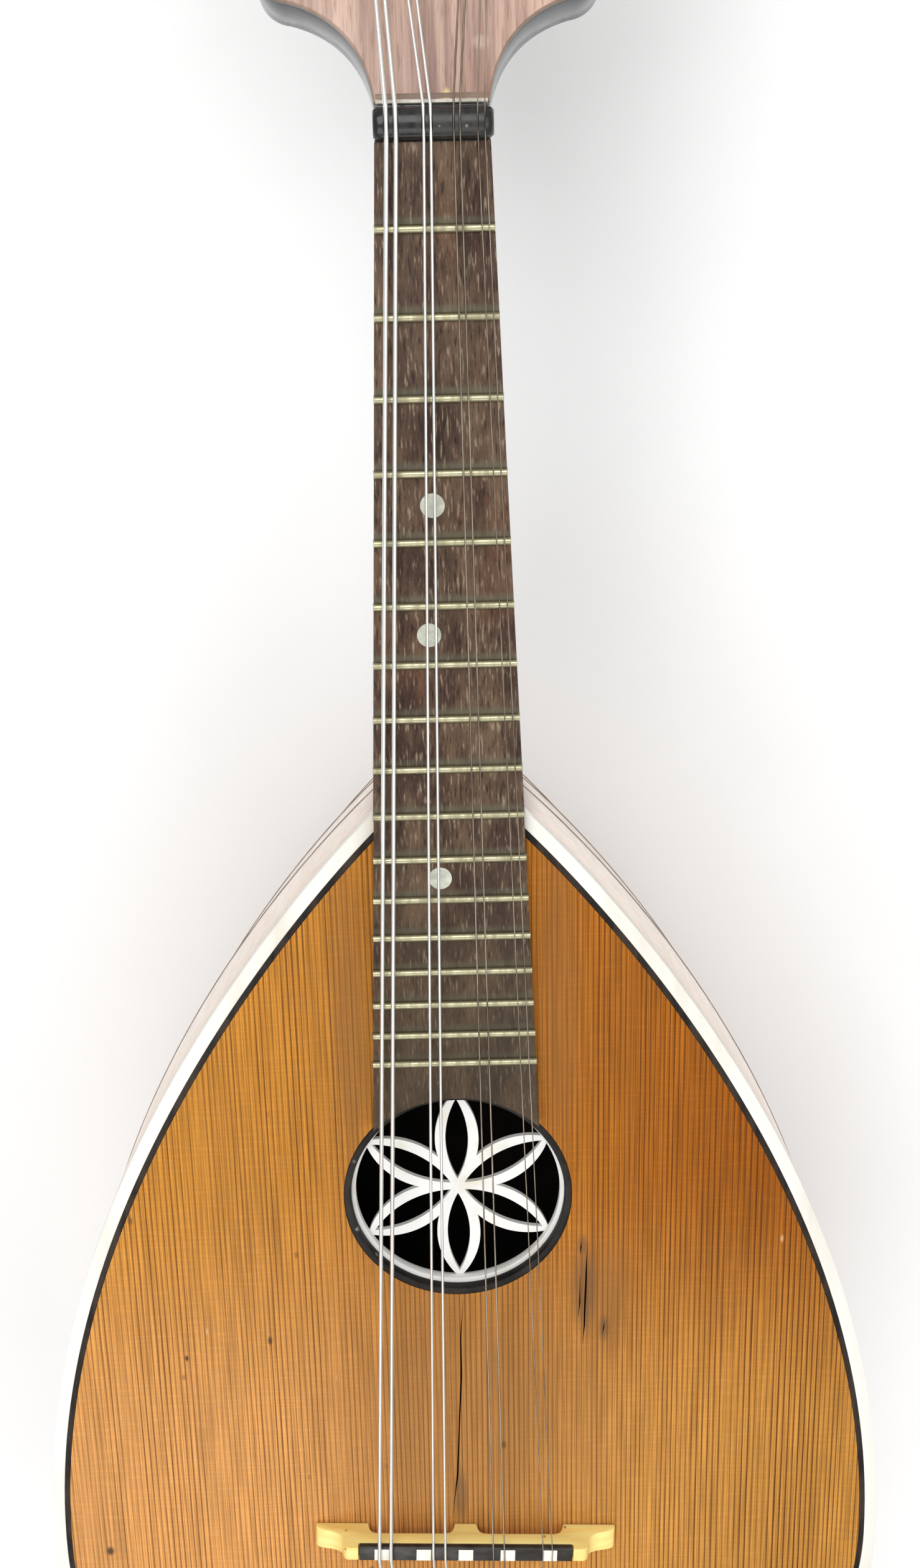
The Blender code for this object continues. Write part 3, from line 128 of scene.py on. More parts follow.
class ShaderSketch(Sketch):
    """A material under construction, with one Principled shader."""

    def __init__(self, name: str, roughness: float, **constants: float) -> None:
        """Start a material.

        Args:
            name: the material's name.
            roughness: the shader's roughness.
            constants: other shader values, with underscores for the spaces in their names.
        """
        self.material = bpy.data.materials.new(name)
        self.material.use_nodes = True
        super().__init__(self.material.node_tree)
        self.shader = self.tree.nodes["Principled BSDF"]
        self.shader.inputs["Roughness"].default_value = roughness
        for socket, value in constants.items():
            self.shader.inputs[socket.replace("_", " ")].default_value = value
        self.coordinates = self.node("ShaderNodeTexCoord")

    def place(self) -> Socket:
        """The point's place on the object."""
        return self.coordinates.outputs["Object"]

    def axes(self) -> tuple[Socket, Socket, Socket]:
        """The point's X, Y and Z."""
        split = self.node("ShaderNodeSeparateXYZ", {0: self.place()})
        return split.outputs[0], split.outputs[1], split.outputs[2]

    def stretched(self, scale: Sequence[float], turn: float = 0.0) -> Socket:
        """The place turned about Z and scaled by the repeats in a metre along each axis."""
        inputs = {"Vector": self.place(), "Scale": scale, "Rotation": (0.0, 0.0, turn)}
        return self.node("ShaderNodeMapping", inputs).outputs[0]

    def noise(
        self, where: Socket, scale: float = 1.0, detail: float = 2.0, roughness: float = 0.5
    ) -> Socket:
        """A cloudy value from 0 to 1, with finer layers as detail and roughness say."""
        inputs = {"Vector": where, "Scale": scale, "Detail": detail, "Roughness": roughness}
        return self.node("ShaderNodeTexNoise", inputs).outputs[0]

    def specks(self, where: Socket, scale: float, reach: float, share: float) -> Socket:
        """Small round marks, scattered at random.

        Args:
            where: the point to read at.
            scale: how many cells there are along one unit.
            reach: a mark's radius as a share of a cell.
            share: the share of cells that hold a mark.

        Returns:
            1 on a mark and 0 off it.
        """
        cells = self.node("ShaderNodeTexVoronoi", {"Vector": where, "Scale": scale})
        near = self.remap(cells.outputs["Distance"], reach, reach * 0.4)
        split = self.node("ShaderNodeSeparateColor", {0: cells.outputs["Color"]})
        chosen = self.math("LESS_THAN", split.outputs[0], share)
        return self.math("MULTIPLY", near, chosen)

    def remap(
        self, value: Socket, low: float, high: float, start: float = 0.0, end: float = 1.0
    ) -> Socket:
        """A smooth step from start, at low, to end, at high; low may be above high."""
        inputs = {"Value": value, "From Min": low, "From Max": high, "To Min": start, "To Max": end}
        return self.node("ShaderNodeMapRange", inputs, interpolation_type="SMOOTHSTEP").outputs[0]

    def mix(
        self, factor: float | Socket, base: Colour | Socket, other: Colour | Socket,
        blend: str = "MIX",
    ) -> Socket:
        """Two colours in one.

        Args:
            factor: the share of the second colour.
            base: the first colour.
            other: the second colour.
            blend: how they are combined.

        Returns:
            The colour.
        """
        pair = [(*c, 1.0) if isinstance(c, tuple) else c for c in (base, other)]
        inputs = {0: factor, 6: pair[0], 7: pair[1]}
        made = self.node("ShaderNodeMix", inputs, data_type="RGBA", blend_type=blend)
        return made.outputs[2]

    def relief(self, height: Socket, depth: float, strength: float = 1.0) -> Socket:
        """A normal bumped by a height from 0 to 1 that is depth metres deep."""
        inputs = {"Height": height, "Distance": depth, "Strength": strength}
        return self.node("ShaderNodeBump", inputs).outputs[0]

    def done(
        self, colour: Socket, roughness: Socket | None = None, normal: Socket | None = None
    ) -> Material:
        """Connect the shader, with a roughness or a normal where there is one."""
        for name, socket in (("Base Color", colour), ("Roughness", roughness), ("Normal", normal)):
            if socket is not None:
                self.tree.links.new(socket, self.shader.inputs[name])
        return self.material


class GeometrySketch(Sketch):
    """A geometry node tree with named inputs, run on a mesh to give a plain mesh."""

    def __init__(self, name: str, inputs: dict[str, str]) -> None:
        """Start a tree.

        Args:
            name: the tree's name.
            inputs: the socket type of each named input, besides the geometry.
        """
        super().__init__(bpy.data.node_groups.new(name, "GeometryNodeTree"))
        face = self.tree.interface
        face.new_socket("Geometry", in_out="INPUT", socket_type="NodeSocketGeometry")
        self.keys = {
            label: face.new_socket(label, in_out="INPUT", socket_type=kind).identifier
            for label, kind in inputs.items()
        }
        face.new_socket("Geometry", in_out="OUTPUT", socket_type="NodeSocketGeometry")
        self.given = self.node("NodeGroupInput").outputs

    def done(self, geometry: Socket, smooth: bool) -> None:
        """Realize the result, give it its material and close the tree.

        Args:
            geometry: what the tree has made.
            smooth: whether its faces are shaded smooth.
        """
        solid = self.node("GeometryNodeRealizeInstances", {"Geometry": geometry}).outputs[0]
        shaded = self.node(
            "GeometryNodeSetShadeSmooth", {"Geometry": solid, "Shade Smooth": smooth}
        ).outputs[0]
        dressed = self.node(
            "GeometryNodeSetMaterial", {"Geometry": shaded, "Material": self.given["Finish"]}
        ).outputs[0]
        self.node("NodeGroupOutput", {0: dressed})

    def run(self, name: str, base: Mesh, values: dict[str, object]) -> Mesh:
        """Run the tree on a mesh.

        Args:
            name: the new mesh's name.
            base: the mesh that the tree starts from.
            values: the value of each named input.

        Returns:
            The result as a plain mesh.
        """
        obj = bpy.data.objects.new(name, base)
        bpy.context.scene.collection.objects.link(obj)
        modifier = obj.modifiers.new(self.tree.name, "NODES")
        modifier.node_group = self.tree
        for label, value in values.items():
            modifier[self.keys[label]] = value
        return evaluated(obj)


class WireTree(GeometrySketch):
    """A round wire along each line of the base mesh, with an optional ridge at every step."""

    def __init__(self) -> None:
        """Build the tree."""
        super().__init__("round_wire", {
            "Radius": "NodeSocketFloat", "Step": "NodeSocketFloat",
            "Ridge": "NodeSocketFloat", "Sides": "NodeSocketInt", "Finish": "NodeSocketMaterial",
        })
        path = self.node("GeometryNodeMeshToCurve", {"Mesh": self.given["Geometry"]}).outputs[0]
        even = self.node(
            "GeometryNodeResampleCurve", {"Curve": path, "Length": self.given["Step"]},
            mode="LENGTH",
        ).outputs[0]
        index = self.node("GeometryNodeInputIndex").outputs[0]
        odd = self.math("MODULO", index, 2.0)
        scale = self.math("ADD", 1.0, self.math("MULTIPLY", odd, self.given["Ridge"]))
        ring = self.node("GeometryNodeCurvePrimitiveCircle", {
            "Resolution": self.given["Sides"], "Radius": self.given["Radius"],
        }).outputs[0]
        tube = self.node("GeometryNodeCurveToMesh", {
            "Curve": even, "Profile Curve": ring, "Scale": scale, "Fill Caps": True,
        }).outputs[0]
        self.done(tube, smooth=True)

    def wire(
        self, name: str, paths: Iterable[Outline], radius: float, step: float,
        finish: Coating, ridge: float = 0.0, sides: int = 10,
    ) -> Mesh:
        """Wires along paths, with a ring at every step and every other ring wider by ridge."""
        return self.run(name, lines_mesh(paths), {
            "Radius": radius, "Step": step, "Ridge": ridge, "Sides": sides,
            "Finish": finish.material,
        })


class ScatterTree(GeometrySketch):
    """A copy of a pattern at every point of the base mesh, stretched as the point says."""

    STRETCH = "stretch"

    def __init__(self) -> None:
        """Build the tree."""
        super().__init__("row_of_copies", {
            "Pattern": "NodeSocketObject", "Finish": "NodeSocketMaterial",
        })
        pattern = self.node(
            "GeometryNodeObjectInfo", {"Object": self.given["Pattern"]}
        ).outputs["Geometry"]
        stretch = self.node(
            "GeometryNodeInputNamedAttribute", {"Name": self.STRETCH}, data_type="FLOAT_VECTOR"
        ).outputs[0]
        copies = self.node("GeometryNodeInstanceOnPoints", {
            "Points": self.given["Geometry"], "Instance": pattern, "Scale": stretch,
        }).outputs[0]
        self.done(copies, smooth=True)

    def row(
        self, name: str, pattern: Mesh, points: Sequence[Vector],
        finish: Coating, stretch: Sequence[Vector] | None = None,
    ) -> Mesh:
        """Copies of a pattern.

        Args:
            name: the mesh's name.
            pattern: the mesh to copy, about its own origin.
            points: where the copies go.
            finish: their material.
            stretch: each copy's stretch, or None to leave them all as they are.

        Returns:
            The copies as one mesh.
        """
        base = bpy.data.meshes.new(f"{name}_points")
        base.from_pydata([tuple(p) for p in points], [], [])
        sizes = stretch or [Vector((1.0, 1.0, 1.0))] * len(points)
        layer = base.attributes.new(self.STRETCH, "FLOAT_VECTOR", "POINT")
        for item, size in zip(layer.data, sizes):
            item.vector = size
        holder = bpy.data.objects.new(f"{name}_pattern", pattern)
        made = self.run(name, base, {"Pattern": holder, "Finish": finish.material})
        bpy.data.objects.remove(holder)
        return made


# ---- shapes ----
def evaluated(obj: bpy.types.Object) -> Mesh:
    """The mesh that an object comes to, as plain mesh data.

    Args:
        obj: a curve, or a mesh with modifiers, linked to the scene; it is removed.

    Returns:
        Its mesh.
    """
    bpy.context.view_layer.update()
    graph = bpy.context.evaluated_depsgraph_get()
    mesh = bpy.data.meshes.new_from_object(obj.evaluated_get(graph))
    bpy.data.objects.remove(obj, do_unlink=True)
    return mesh


def with_modifier(mesh: Mesh, kind: str, **settings: object) -> Mesh:
    """A mesh with one modifier applied.

    Args:
        mesh: the mesh.
        kind: the modifier's type.
        settings: its properties.

    Returns:
        The new mesh.
    """
    obj = bpy.data.objects.new(mesh.name, mesh)
    bpy.context.scene.collection.objects.link(obj)
    modifier = obj.modifiers.new(kind.lower(), kind)
    for name, value in settings.items():
        setattr(modifier, name, value)
    return evaluated(obj)


def rounded(mesh: Mesh, width: float, segments: int = 2) -> Mesh:
    """A mesh with its sharp edges rounded."""
    return with_modifier(
        mesh, "BEVEL", width=width, segments=segments, limit_method="ANGLE",
        angle_limit=radians(38), use_clamp_overlap=True,
    )


def combined(mesh: Mesh, other: Mesh, operation: str) -> Mesh:
    """Two closed meshes in one Boolean.

    Args:
        mesh: the mesh that is cut or added to.
        other: the cutter or the addition.
        operation: the Boolean's name.

    Returns:
        The new mesh.
    """
    tool = bpy.data.objects.new(other.name, other)
    bpy.context.scene.collection.objects.link(tool)
    made = with_modifier(mesh, "BOOLEAN", object=tool, operation=operation, solver="EXACT")
    bpy.data.objects.remove(tool, do_unlink=True)
    return made


def lines_mesh(paths: Iterable[Outline]) -> Mesh:
    """Open lines as edges.

    Args:
        paths: the points of each line.

    Returns:
        A mesh without faces.
    """
    points: list[Vector] = []
    edges: list[tuple[int, int]] = []
    for path in paths:
        first = len(points)
        points.extend(path)
        edges.extend((first + i, first + i + 1) for i in range(len(path) - 1))
    mesh = bpy.data.meshes.new("lines")
    mesh.from_pydata([tuple(p) for p in points], edges, [])
    return mesh


def from_bmesh(bm: bmesh.types.BMesh, merge: float = 1e-6) -> Mesh:
    """A mesh with its doubles merged and its faces turned out.

    Args:
        bm: the bmesh; it is freed.
        merge: how close two points are merged.

    Returns:
        The mesh.
    """
    bmesh.ops.remove_doubles(bm, verts=bm.verts, dist=merge)
    bmesh.ops.recalc_face_normals(bm, faces=bm.faces)
    mesh = bpy.data.meshes.new("piece")
    bm.to_mesh(mesh)
    bm.free()
    return mesh


def lofted(rings: Sequence[Sequence[Vector]]) -> Mesh:
    """A skin with a flat cap at each end.

    Args:
        rings: rings of equal length.

    Returns:
        The mesh.
    """
    bm = bmesh.new()
    rows = [[bm.verts.new(p) for p in ring] for ring in rings]
    count = len(rows[0])
    for near, far in zip(rows, rows[1:]):
        for i in range(count):
            j = (i + 1) % count
            bm.faces.new((near[i], near[j], far[j], far[i]))
    bm.faces.new(rows[0])
    bm.faces.new(reversed(rows[-1]))
    return from_bmesh(bm)


def turned(profile: Sequence[tuple[float, float]], steps: int) -> Mesh:
    """A solid turned about Z.

    Args:
        profile: (radius, height) points; it is closed where its ends don't meet the axis.
        steps: how many steps a full turn has.

    Returns:
        The mesh.
    """
    bm = bmesh.new()
    closed = profile[0][0] > STRAIGHT
    rows = []
    for i in range(steps):
        turn = Matrix.Rotation(2 * pi * i / steps, 3, "Z")
        rows.append([bm.verts.new(turn @ Vector((r, 0.0, z))) for r, z in profile])
    spans = len(profile) if closed else len(profile) - 1
    for near, far in zip(rows, rows[1:] + rows[:1]):
        for i in range(spans):
            j = (i + 1) % len(profile)
            corners = [near[i], near[j], far[j], far[i]]
            if profile[i][0] <= STRAIGHT:
                corners.remove(far[i])
            if profile[j][0] <= STRAIGHT:
                corners.remove(far[j])
            bm.faces.new(corners)
    return from_bmesh(bm)


def rod(radius: float, half: float, steps: int) -> Mesh:
    """A plain cylinder about Z."""
    return turned([(0.0, half), (radius, half), (radius, -half), (0.0, -half)], steps)


def plate(outlines: Sequence[Outline], low: float, high: float, edge: float = 0.0) -> Mesh:
    """A flat plate with holes and rounded edges.

    Args:
        outlines: the outer edge, then the holes.
        low: the height of its underside.
        high: the height of its top.
        edge: how far its edges are rounded.

    Returns:
        The mesh.
    """
    curve = bpy.data.curves.new("outline", "CURVE")
    curve.dimensions = "2D"
    curve.fill_mode = "BOTH"
    curve.extrude = (high - low) / 2 - edge
    curve.bevel_depth = edge
    curve.bevel_resolution = 1
    curve.offset = -edge
    for outline in outlines:
        spline = curve.splines.new("POLY")
        spline.points.add(len(outline) - 1)
        for point, place in zip(spline.points, outline):
            point.co = (place.x, place.y, 0.0, 1.0)
        spline.use_cyclic_u = True
    obj = bpy.data.objects.new("outline", curve)
    bpy.context.scene.collection.objects.link(obj)
    mesh = evaluated(obj)
    mesh.transform(Matrix.Translation((0.0, 0.0, (low + high) / 2)))
    bm = bmesh.new()
    bm.from_mesh(mesh)
    return from_bmesh(bm)


def block(low: Sequence[float], high: Sequence[float], edge: float = 0.0) -> Mesh:
    """A box.

    Args:
        low: its lowest corner.
        high: its highest corner.
        edge: how far its edges are rounded.

    Returns:
        The mesh.
    """
    bm = bmesh.new()
    near, far = Vector(low), Vector(high)
    size = Matrix.Diagonal((*(far - near), 1.0))
    bmesh.ops.create_cube(bm, size=1.0, matrix=Matrix.Translation((near + far) / 2) @ size)
    mesh = from_bmesh(bm)
    return rounded(mesh, edge) if edge else mesh


def joined(meshes: Iterable[Mesh]) -> Mesh:
    """Several meshes as one.

    Args:
        meshes: the meshes.

    Returns:
        The new mesh.
    """
    bm = bmesh.new()
    for mesh in meshes:
        bm.from_mesh(mesh)
    made = bpy.data.meshes.new("piece")
    bm.to_mesh(made)
    bm.free()
    return made


def moved(mesh: Mesh, matrix: Matrix) -> Mesh:
    """A copy of a mesh in another place."""
    copy = mesh.copy()
    copy.transform(matrix)
    return copy


def bezier(points: Sequence[Sequence[float]], steps: int) -> Outline:
    """A cubic curve.

    Args:
        points: its four control points.
        steps: how many steps it is cut into.

    Returns:
        Its points, both ends included.
    """
    a, b, c, d = (Vector(p) for p in points)
    made = []
    for i in range(steps + 1):
        t = i / steps
        s = 1 - t
        made.append(a * s**3 + b * 3 * s * s * t + c * 3 * s * t * t + d * t**3)
    return made


def circle(x: float, y: float, radius: float, count: int) -> Outline:
    """Points around a circle in a plane."""
    turns = (2 * pi * i / count for i in range(count))
    return [Vector((x + radius * cos(a), y + radius * sin(a))) for a in turns]


def mirrored(right: Outline) -> Outline:
    """A closed outline from its right half."""
    return list(right) + [Vector((-p.x, p.y)) for p in reversed(right) if abs(p.x) > STRAIGHT]


def inset(outline: Outline, by: float) -> Outline:
    """A closed outline moved inwards.

    Args:
        outline: its points, clockwise or not.
        by: how far it moves.

    Returns:
        The new outline.
    """
    count = len(outline)
    area = sum(
        outline[i].x * outline[(i + 1) % count].y - outline[(i + 1) % count].x * outline[i].y
        for i in range(count)
    )
    sign = 1.0 if area > 0 else -1.0
    made = []
    for i, point in enumerate(outline):
        tangent = (outline[(i + 1) % count] - outline[i - 1]).normalized()
        made.append(point + sign * by * Vector((-tangent.y, tangent.x)))
    return made


def helix(
    radius: float, low: float, high: float, turns: float, per_turn: int = 16, start: float = 0.0
) -> Outline:
    """A coil about Z.

    Args:
        radius: its radius.
        low: where it begins.
        high: where it ends.
        turns: how often it goes round.
        per_turn: its points in a turn.
        start: the angle it begins at.

    Returns:
        Its points.
    """
    count = max(2, round(turns * per_turn))
    made = []
    for i in range(count + 1):
        share = i / count
        turn = start + 2 * pi * turns * share
        height = low + (high - low) * share
        made.append(Vector((radius * cos(turn), radius * sin(turn), height)))
    return made


def put(
    name: str, mesh: Mesh, finish: Coating,
    body: str = ROOT, nodes: Iterable[str] = (), sharp: float | None = 35.0,
) -> bpy.types.Object:
    """Place a finished piece on its body.

    Args:
        name: the piece's name.
        mesh: its mesh, in place.
        finish: its material.
        body: the body that it rides on.
        nodes: the nodes that it stands for.
        sharp: the angle in degrees past which an edge stays sharp, or None to leave the shading.

    Returns:
        The piece.
    """
    obj = bpy.data.objects.new(name, mesh)
    bpy.context.scene.collection.objects.link(obj)
    mesh.name = name
    mesh.materials.clear()
    mesh.materials.append(finish.material)
    if sharp is not None:
        mesh.shade_smooth()
        mesh.set_sharp_from_angle(angle=radians(sharp))
    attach(obj, body)
    if nodes := tuple(nodes):
        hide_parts(*nodes)
    LOG.info("%s: %d faces on %s", name, len(mesh.polygons), body)
    return obj


def dress(node: str, finish: Coating) -> None:
    """Give a node of the frame a better material."""
    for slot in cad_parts[node].material_slots:
        slot.material = finish.material


# ---- reference lines ----
@dataclass(frozen=True)
class Datum:
    """Lines and sizes that the sub-assemblies share, read from the frame."""

    face: float
    nut_line: float
    nut_front: float = 0.0016
    nut_back: float = 0.0049
    lean: float = radians(14.0)

    @classmethod
    def from_frame(cls) -> Datum:
        """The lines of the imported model."""
        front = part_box("nut")[0].y
        return cls(face=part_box("soundboard")[1].z, nut_line=front + cls.nut_front)

    def at(self, across: float, along: float, height: float) -> Vector:
        """The place of a point on the body."""
        return Vector((across, self.nut_line - along, self.face + height))

    def flat(self, outline: Outline) -> Outline:
        """An (across, along) outline in the frame's X and Y."""
        return [Vector((p.x, self.nut_line - p.y)) for p in outline]

    def along(self, y: float) -> float:
        """How far from the nut a Y of the frame is."""
        return self.nut_line - y

    @property
    def head(self) -> Matrix:
        """The headstock's axes: Y up its face and Z out of it."""
        corner = self.at(0.0, -self.nut_back, 0.0)
        return Matrix.Translation(corner) @ Matrix.Rotation(-self.lean, 4, "X")


@dataclass(frozen=True)
class BodyShape:
    """The outline of the body and the depth of its bowl."""

    datum: Datum
    half_width: float
    joint: float
    tail: float
    depth: float
    joint_half_width: float = 0.0181
    widest_from_tail: float = 0.0990
    deepest_from_tail: float = 0.1333
    shoulder_pull: float = 0.121
    lower_side_pull: float = 0.056
    lower_tail_pull: float = 0.064
    heel_depth: float = 0.050
    keel_start_pull: tuple[float, float] = (0.028, 0.036)
    keel_pull: float = 0.080
    tail_side_pull: float = 0.072
    tail_drop_pull: float = 0.066
    section_power: float = 3.0
    steps: int = 64

    @classmethod
    def from_frame(cls, datum: Datum) -> BodyShape:
        """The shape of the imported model."""
        low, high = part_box("bowl")
        edge_low, edge_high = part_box("binding")
        return cls(
            datum=datum, half_width=edge_high.x, joint=datum.along(high.y),
            tail=datum.along(edge_low.y), depth=high.z - low.z,
        )

    def edge(self) -> Outline:
        """Right half of the outline, from the neck to the tail."""
        widest = self.tail - self.widest_from_tail
        upper = bezier((
            (self.joint_half_width, self.joint),
            (self.joint_half_width + 0.0011, self.joint + 0.0013),
            (self.half_width, widest - self.shoulder_pull), (self.half_width, widest),
        ), self.steps)
        lower = bezier((
            (self.half_width, widest), (self.half_width, widest + self.lower_side_pull),
            (self.lower_tail_pull, self.tail), (0.0, self.tail),
        ), self.steps)
        return upper + lower[1:]

    def keel(self) -> Outline:
        """(depth, along) of the bowl's middle, from the heel to the tail."""
        deepest = self.tail - self.deepest_from_tail
        upper = bezier((
            (self.heel_depth, self.joint),
            (self.heel_depth + self.keel_start_pull[0], self.joint + self.keel_start_pull[1]),
            (self.depth, deepest - self.keel_pull), (self.depth, deepest),
        ), self.steps)
        lower = bezier((
            (self.depth, deepest), (self.depth, deepest + self.tail_side_pull),
            (self.tail_drop_pull, self.tail), (0.0, self.tail),
        ), self.steps)
        return upper + lower[1:]

    @staticmethod
    def read(curve: Outline, along: float) -> float:
        """The first value of a curve at a distance from the nut."""
        for near, far in zip(curve, curve[1:]):
            if near.y <= along <= far.y:
                share = (along - near.y) / max(far.y - near.y, STRAIGHT)
                return near.x + share * (far.x - near.x)
        return curve[0].x if along < curve[0].y else curve[-1].x

    def rim(self, by: float) -> Outline:
        """The whole outline moved inwards, open across the neck.

        Args:
            by: how far it moves.

        Returns:
            Its points, from the right of the neck round to the left.
        """
        half = self.edge()
        made = []
        for i, point in enumerate(half):
            ahead = half[i + 1] if i + 1 < len(half) else Vector((-half[i - 1].x, point.y))
            tangent = (ahead - (half[i - 1] if i else point)).normalized()
            made.append(point + by * Vector((-tangent.y, tangent.x)))
        made[-1].x = 0.0
        first, second = made[0], made[1]
        made[0] = first + (self.joint - first.y) / (second.y - first.y) * (second - first)
        return mirrored(made)

    def section(
        self, half_width: float, depth: float, count: int, flat_ribs: bool
    ) -> list[tuple[float, float]]:
        """A rounded cross-section from rim to rim, as (across, height below the rim).

        Args:
            half_width: half its width at the rim.
            depth: how deep it is.
            count: how many sides it has.
            flat_ribs: whether a flat side, and not a corner, lies at the full depth.

        Returns:
            Its corners.
        """
        power = 2 / self.section_power
        flat = sin(pi * (count // 2) / count) ** power if flat_ribs else 1.0
        made = []
        for i in range(count + 1):
            turn = pi * i / count
            across = copysign(abs(cos(turn)) ** power, cos(turn))
            down = max(sin(turn), 0.0) ** power / flat
            made.append((half_width * across, -depth * down))
        return made


@dataclass(frozen=True)
class NeckShape:
    """The taper and the fret places of the neck, and the edge of the headstock."""

    scale: float = 0.346
    fret_count: int = 17
    nut_half_width: float = 0.0122
    flare: float = 0.0379
    head_length: float = 0.140
    head_half_width: float = 0.0370
    head_end_half_width: float = 0.0330
    shoulder: float = 0.0215
    corner_width: float = 0.0070

    def half_width(self, along: float) -> float:
        """Half the fingerboard's width at a distance from the nut."""
        return self.nut_half_width + self.flare * along

    def fret_along(self, number: int) -> float:
        """Distance of a fret from the nut, twelve to the octave."""
        return self.scale * (1 - 2 ** (-number / 12))

    def head_outline(self, start: float) -> Outline:
        """The headstock's edge: a waist, flared shoulders and a curved end.

        Args:
            start: how far up its face it begins.

        Returns:
            Its points.
        """
        waist, inner = self.nut_half_width, self.head_half_width - self.corner_width
        side, top, low = self.head_half_width, self.head_length, self.shoulder
        end = self.head_end_half_width
        flare = bezier((
            (waist, start), (waist + 0.0013, 0.0110), (waist + 0.0068, 0.0185), (inner, low),
        ), 24)
        corner = bezier((
            (inner, low), (side - 0.0030, low + 0.0005), (side, low + 0.0035), (side, low + 0.0085),
        ), 12)
        crest = bezier((
            (end, top - 0.0170), (end - 0.0010, top - 0.0080), (end * 0.55, top - 0.0100),
            (0.0, top),
        ), 24)
        return mirrored(flare + corner[1:] + crest)


@dataclass(frozen=True)
class SoundHole:
    """The round hole with its hoop and its flower."""

    along: float
    outer: float
    inner: float
    rim_shows: float = 0.0011
    petals: int = 6
    petal_overlap: float = 0.0010
    petal_half_width: float = 0.0056
    petal_strip: float = 0.0027
    petal_end_margin: float = 0.75
    rim_setback: float = 0.0006

    @classmethod
    def from_frame(cls, datum: Datum, hoop: float = 0.0018) -> SoundHole:
        """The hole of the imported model."""
        low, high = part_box("soundhole_ring")
        outer = (high.x - low.x) / 2
        return cls(along=datum.along((low.y + high.y) / 2), outer=outer, inner=outer - hoop)

    @property
    def rim_inner(self) -> float:
        """The radius that the pale rim inside the hoop leaves open."""
        return self.inner - self.rim_shows

    @staticmethod
    def polar(radius: float, angle: float) -> Vector:
        """A point by its distance and its angle from the neck's direction."""
        return Vector((radius * sin(angle), radius * cos(angle)))

    def leaf(self, length: float, half_width: float, start: float, steps: int) -> Outline:
        """A leaf between two arcs.

        Args:
            length: its length.
            half_width: half its width.
            start: how far from the middle it begins.
            steps: the steps of each arc.

        Returns:
            Its points.
        """
        half = length / 2
        radius = (half * half + half_width * half_width) / (2 * half_width)
        sweep = asin(half / radius)
        arc = []
        for i in range(steps + 1):
            turn = -sweep + 2 * sweep * i / steps
            across = radius * cos(turn) - radius + half_width
            arc.append(Vector((across, start + half + radius * sin(turn))))
        return arc + [Vector((-p.x, p.y)) for p in reversed(arc[1:-1])]

    def openings(self, steps: int = 16) -> list[Outline]:
        """The flower's holes: a leaf inside each petal and a space between each two.

        Args:
            steps: the steps of each side.

        Returns:
            The outlines of the holes.
        """
        length = self.rim_inner + self.petal_overlap
        half = length / 2
        width = self.petal_half_width
        radius = (half * half + width * width) / (2 * width)
        sweep = asin(half / radius)
        share = pi / self.petals
        edge = self.rim_inner + self.rim_setback
        at_rim = sweep - asin(edge / (2 * radius))
        turns = [share + (at_rim - share) * i / steps for i in range(steps + 1)]
        reach = [2 * radius * sin(sweep - turn) for turn in turns]
        side = [self.polar(r, t) for r, t in zip(reach, turns)]
        rim = [self.polar(edge, at_rim + 2 * (share - at_rim) * i / steps) for i in range(1, steps)]
        back = [self.polar(r, 2 * share - t) for r, t in zip(reversed(reach), reversed(turns))]
        margin = self.petal_strip * self.petal_end_margin
        leaf = self.leaf(length - 2 * margin, width - self.petal_strip, margin, steps)
        made = []
        for i in range(self.petals):
            turn = Matrix.Rotation(2 * share * i, 2)
            for outline in (leaf, side + rim + back[:-1]):
                made.append([turn @ p for p in outline])
        return [[Vector((p.x, self.along - p.y)) for p in outline] for outline in made]


# ---- finishes ----
@dataclass(frozen=True)
class Mottled:
    """A finish of two cloudy colours with worn specks and a slightly uneven surface."""

    name: str
    light: Colour
    dark: Colour
    stretch: tuple[float, float, float] = (90.0, 90.0, 90.0)
    contrast: tuple[float, float] = (0.3, 0.7)
    roughness: tuple[float, float] = (0.3, 0.45)
    metallic: float = 0.0
    coat: float = 0.0
    specular: float = 0.5
    wear: Colour | None = None
    wear_scale: float = 260.0
    wear_share: float = 0.06
    depth: float = 0.00003

    def build(self) -> Material:
        """Make the material."""
        pen = ShaderSketch(
            self.name, self.roughness[0], Metallic=self.metallic, Coat_Weight=self.coat,
            Coat_Roughness=0.2, Specular_IOR_Level=self.specular,
        )
        cloud = pen.noise(pen.stretched(self.stretch), detail=4.0, roughness=0.6)
        share = pen.remap(cloud, *self.contrast)
        colour = pen.mix(share, self.light, self.dark)
        if self.wear:
            marks = pen.specks(pen.place(), self.wear_scale, 0.35, self.wear_share)
            colour = pen.mix(marks, colour, self.wear)
        rough = pen.remap(cloud, 0.35, 0.65, *self.roughness)
        return pen.done(colour, rough, pen.relief(cloud, self.depth))


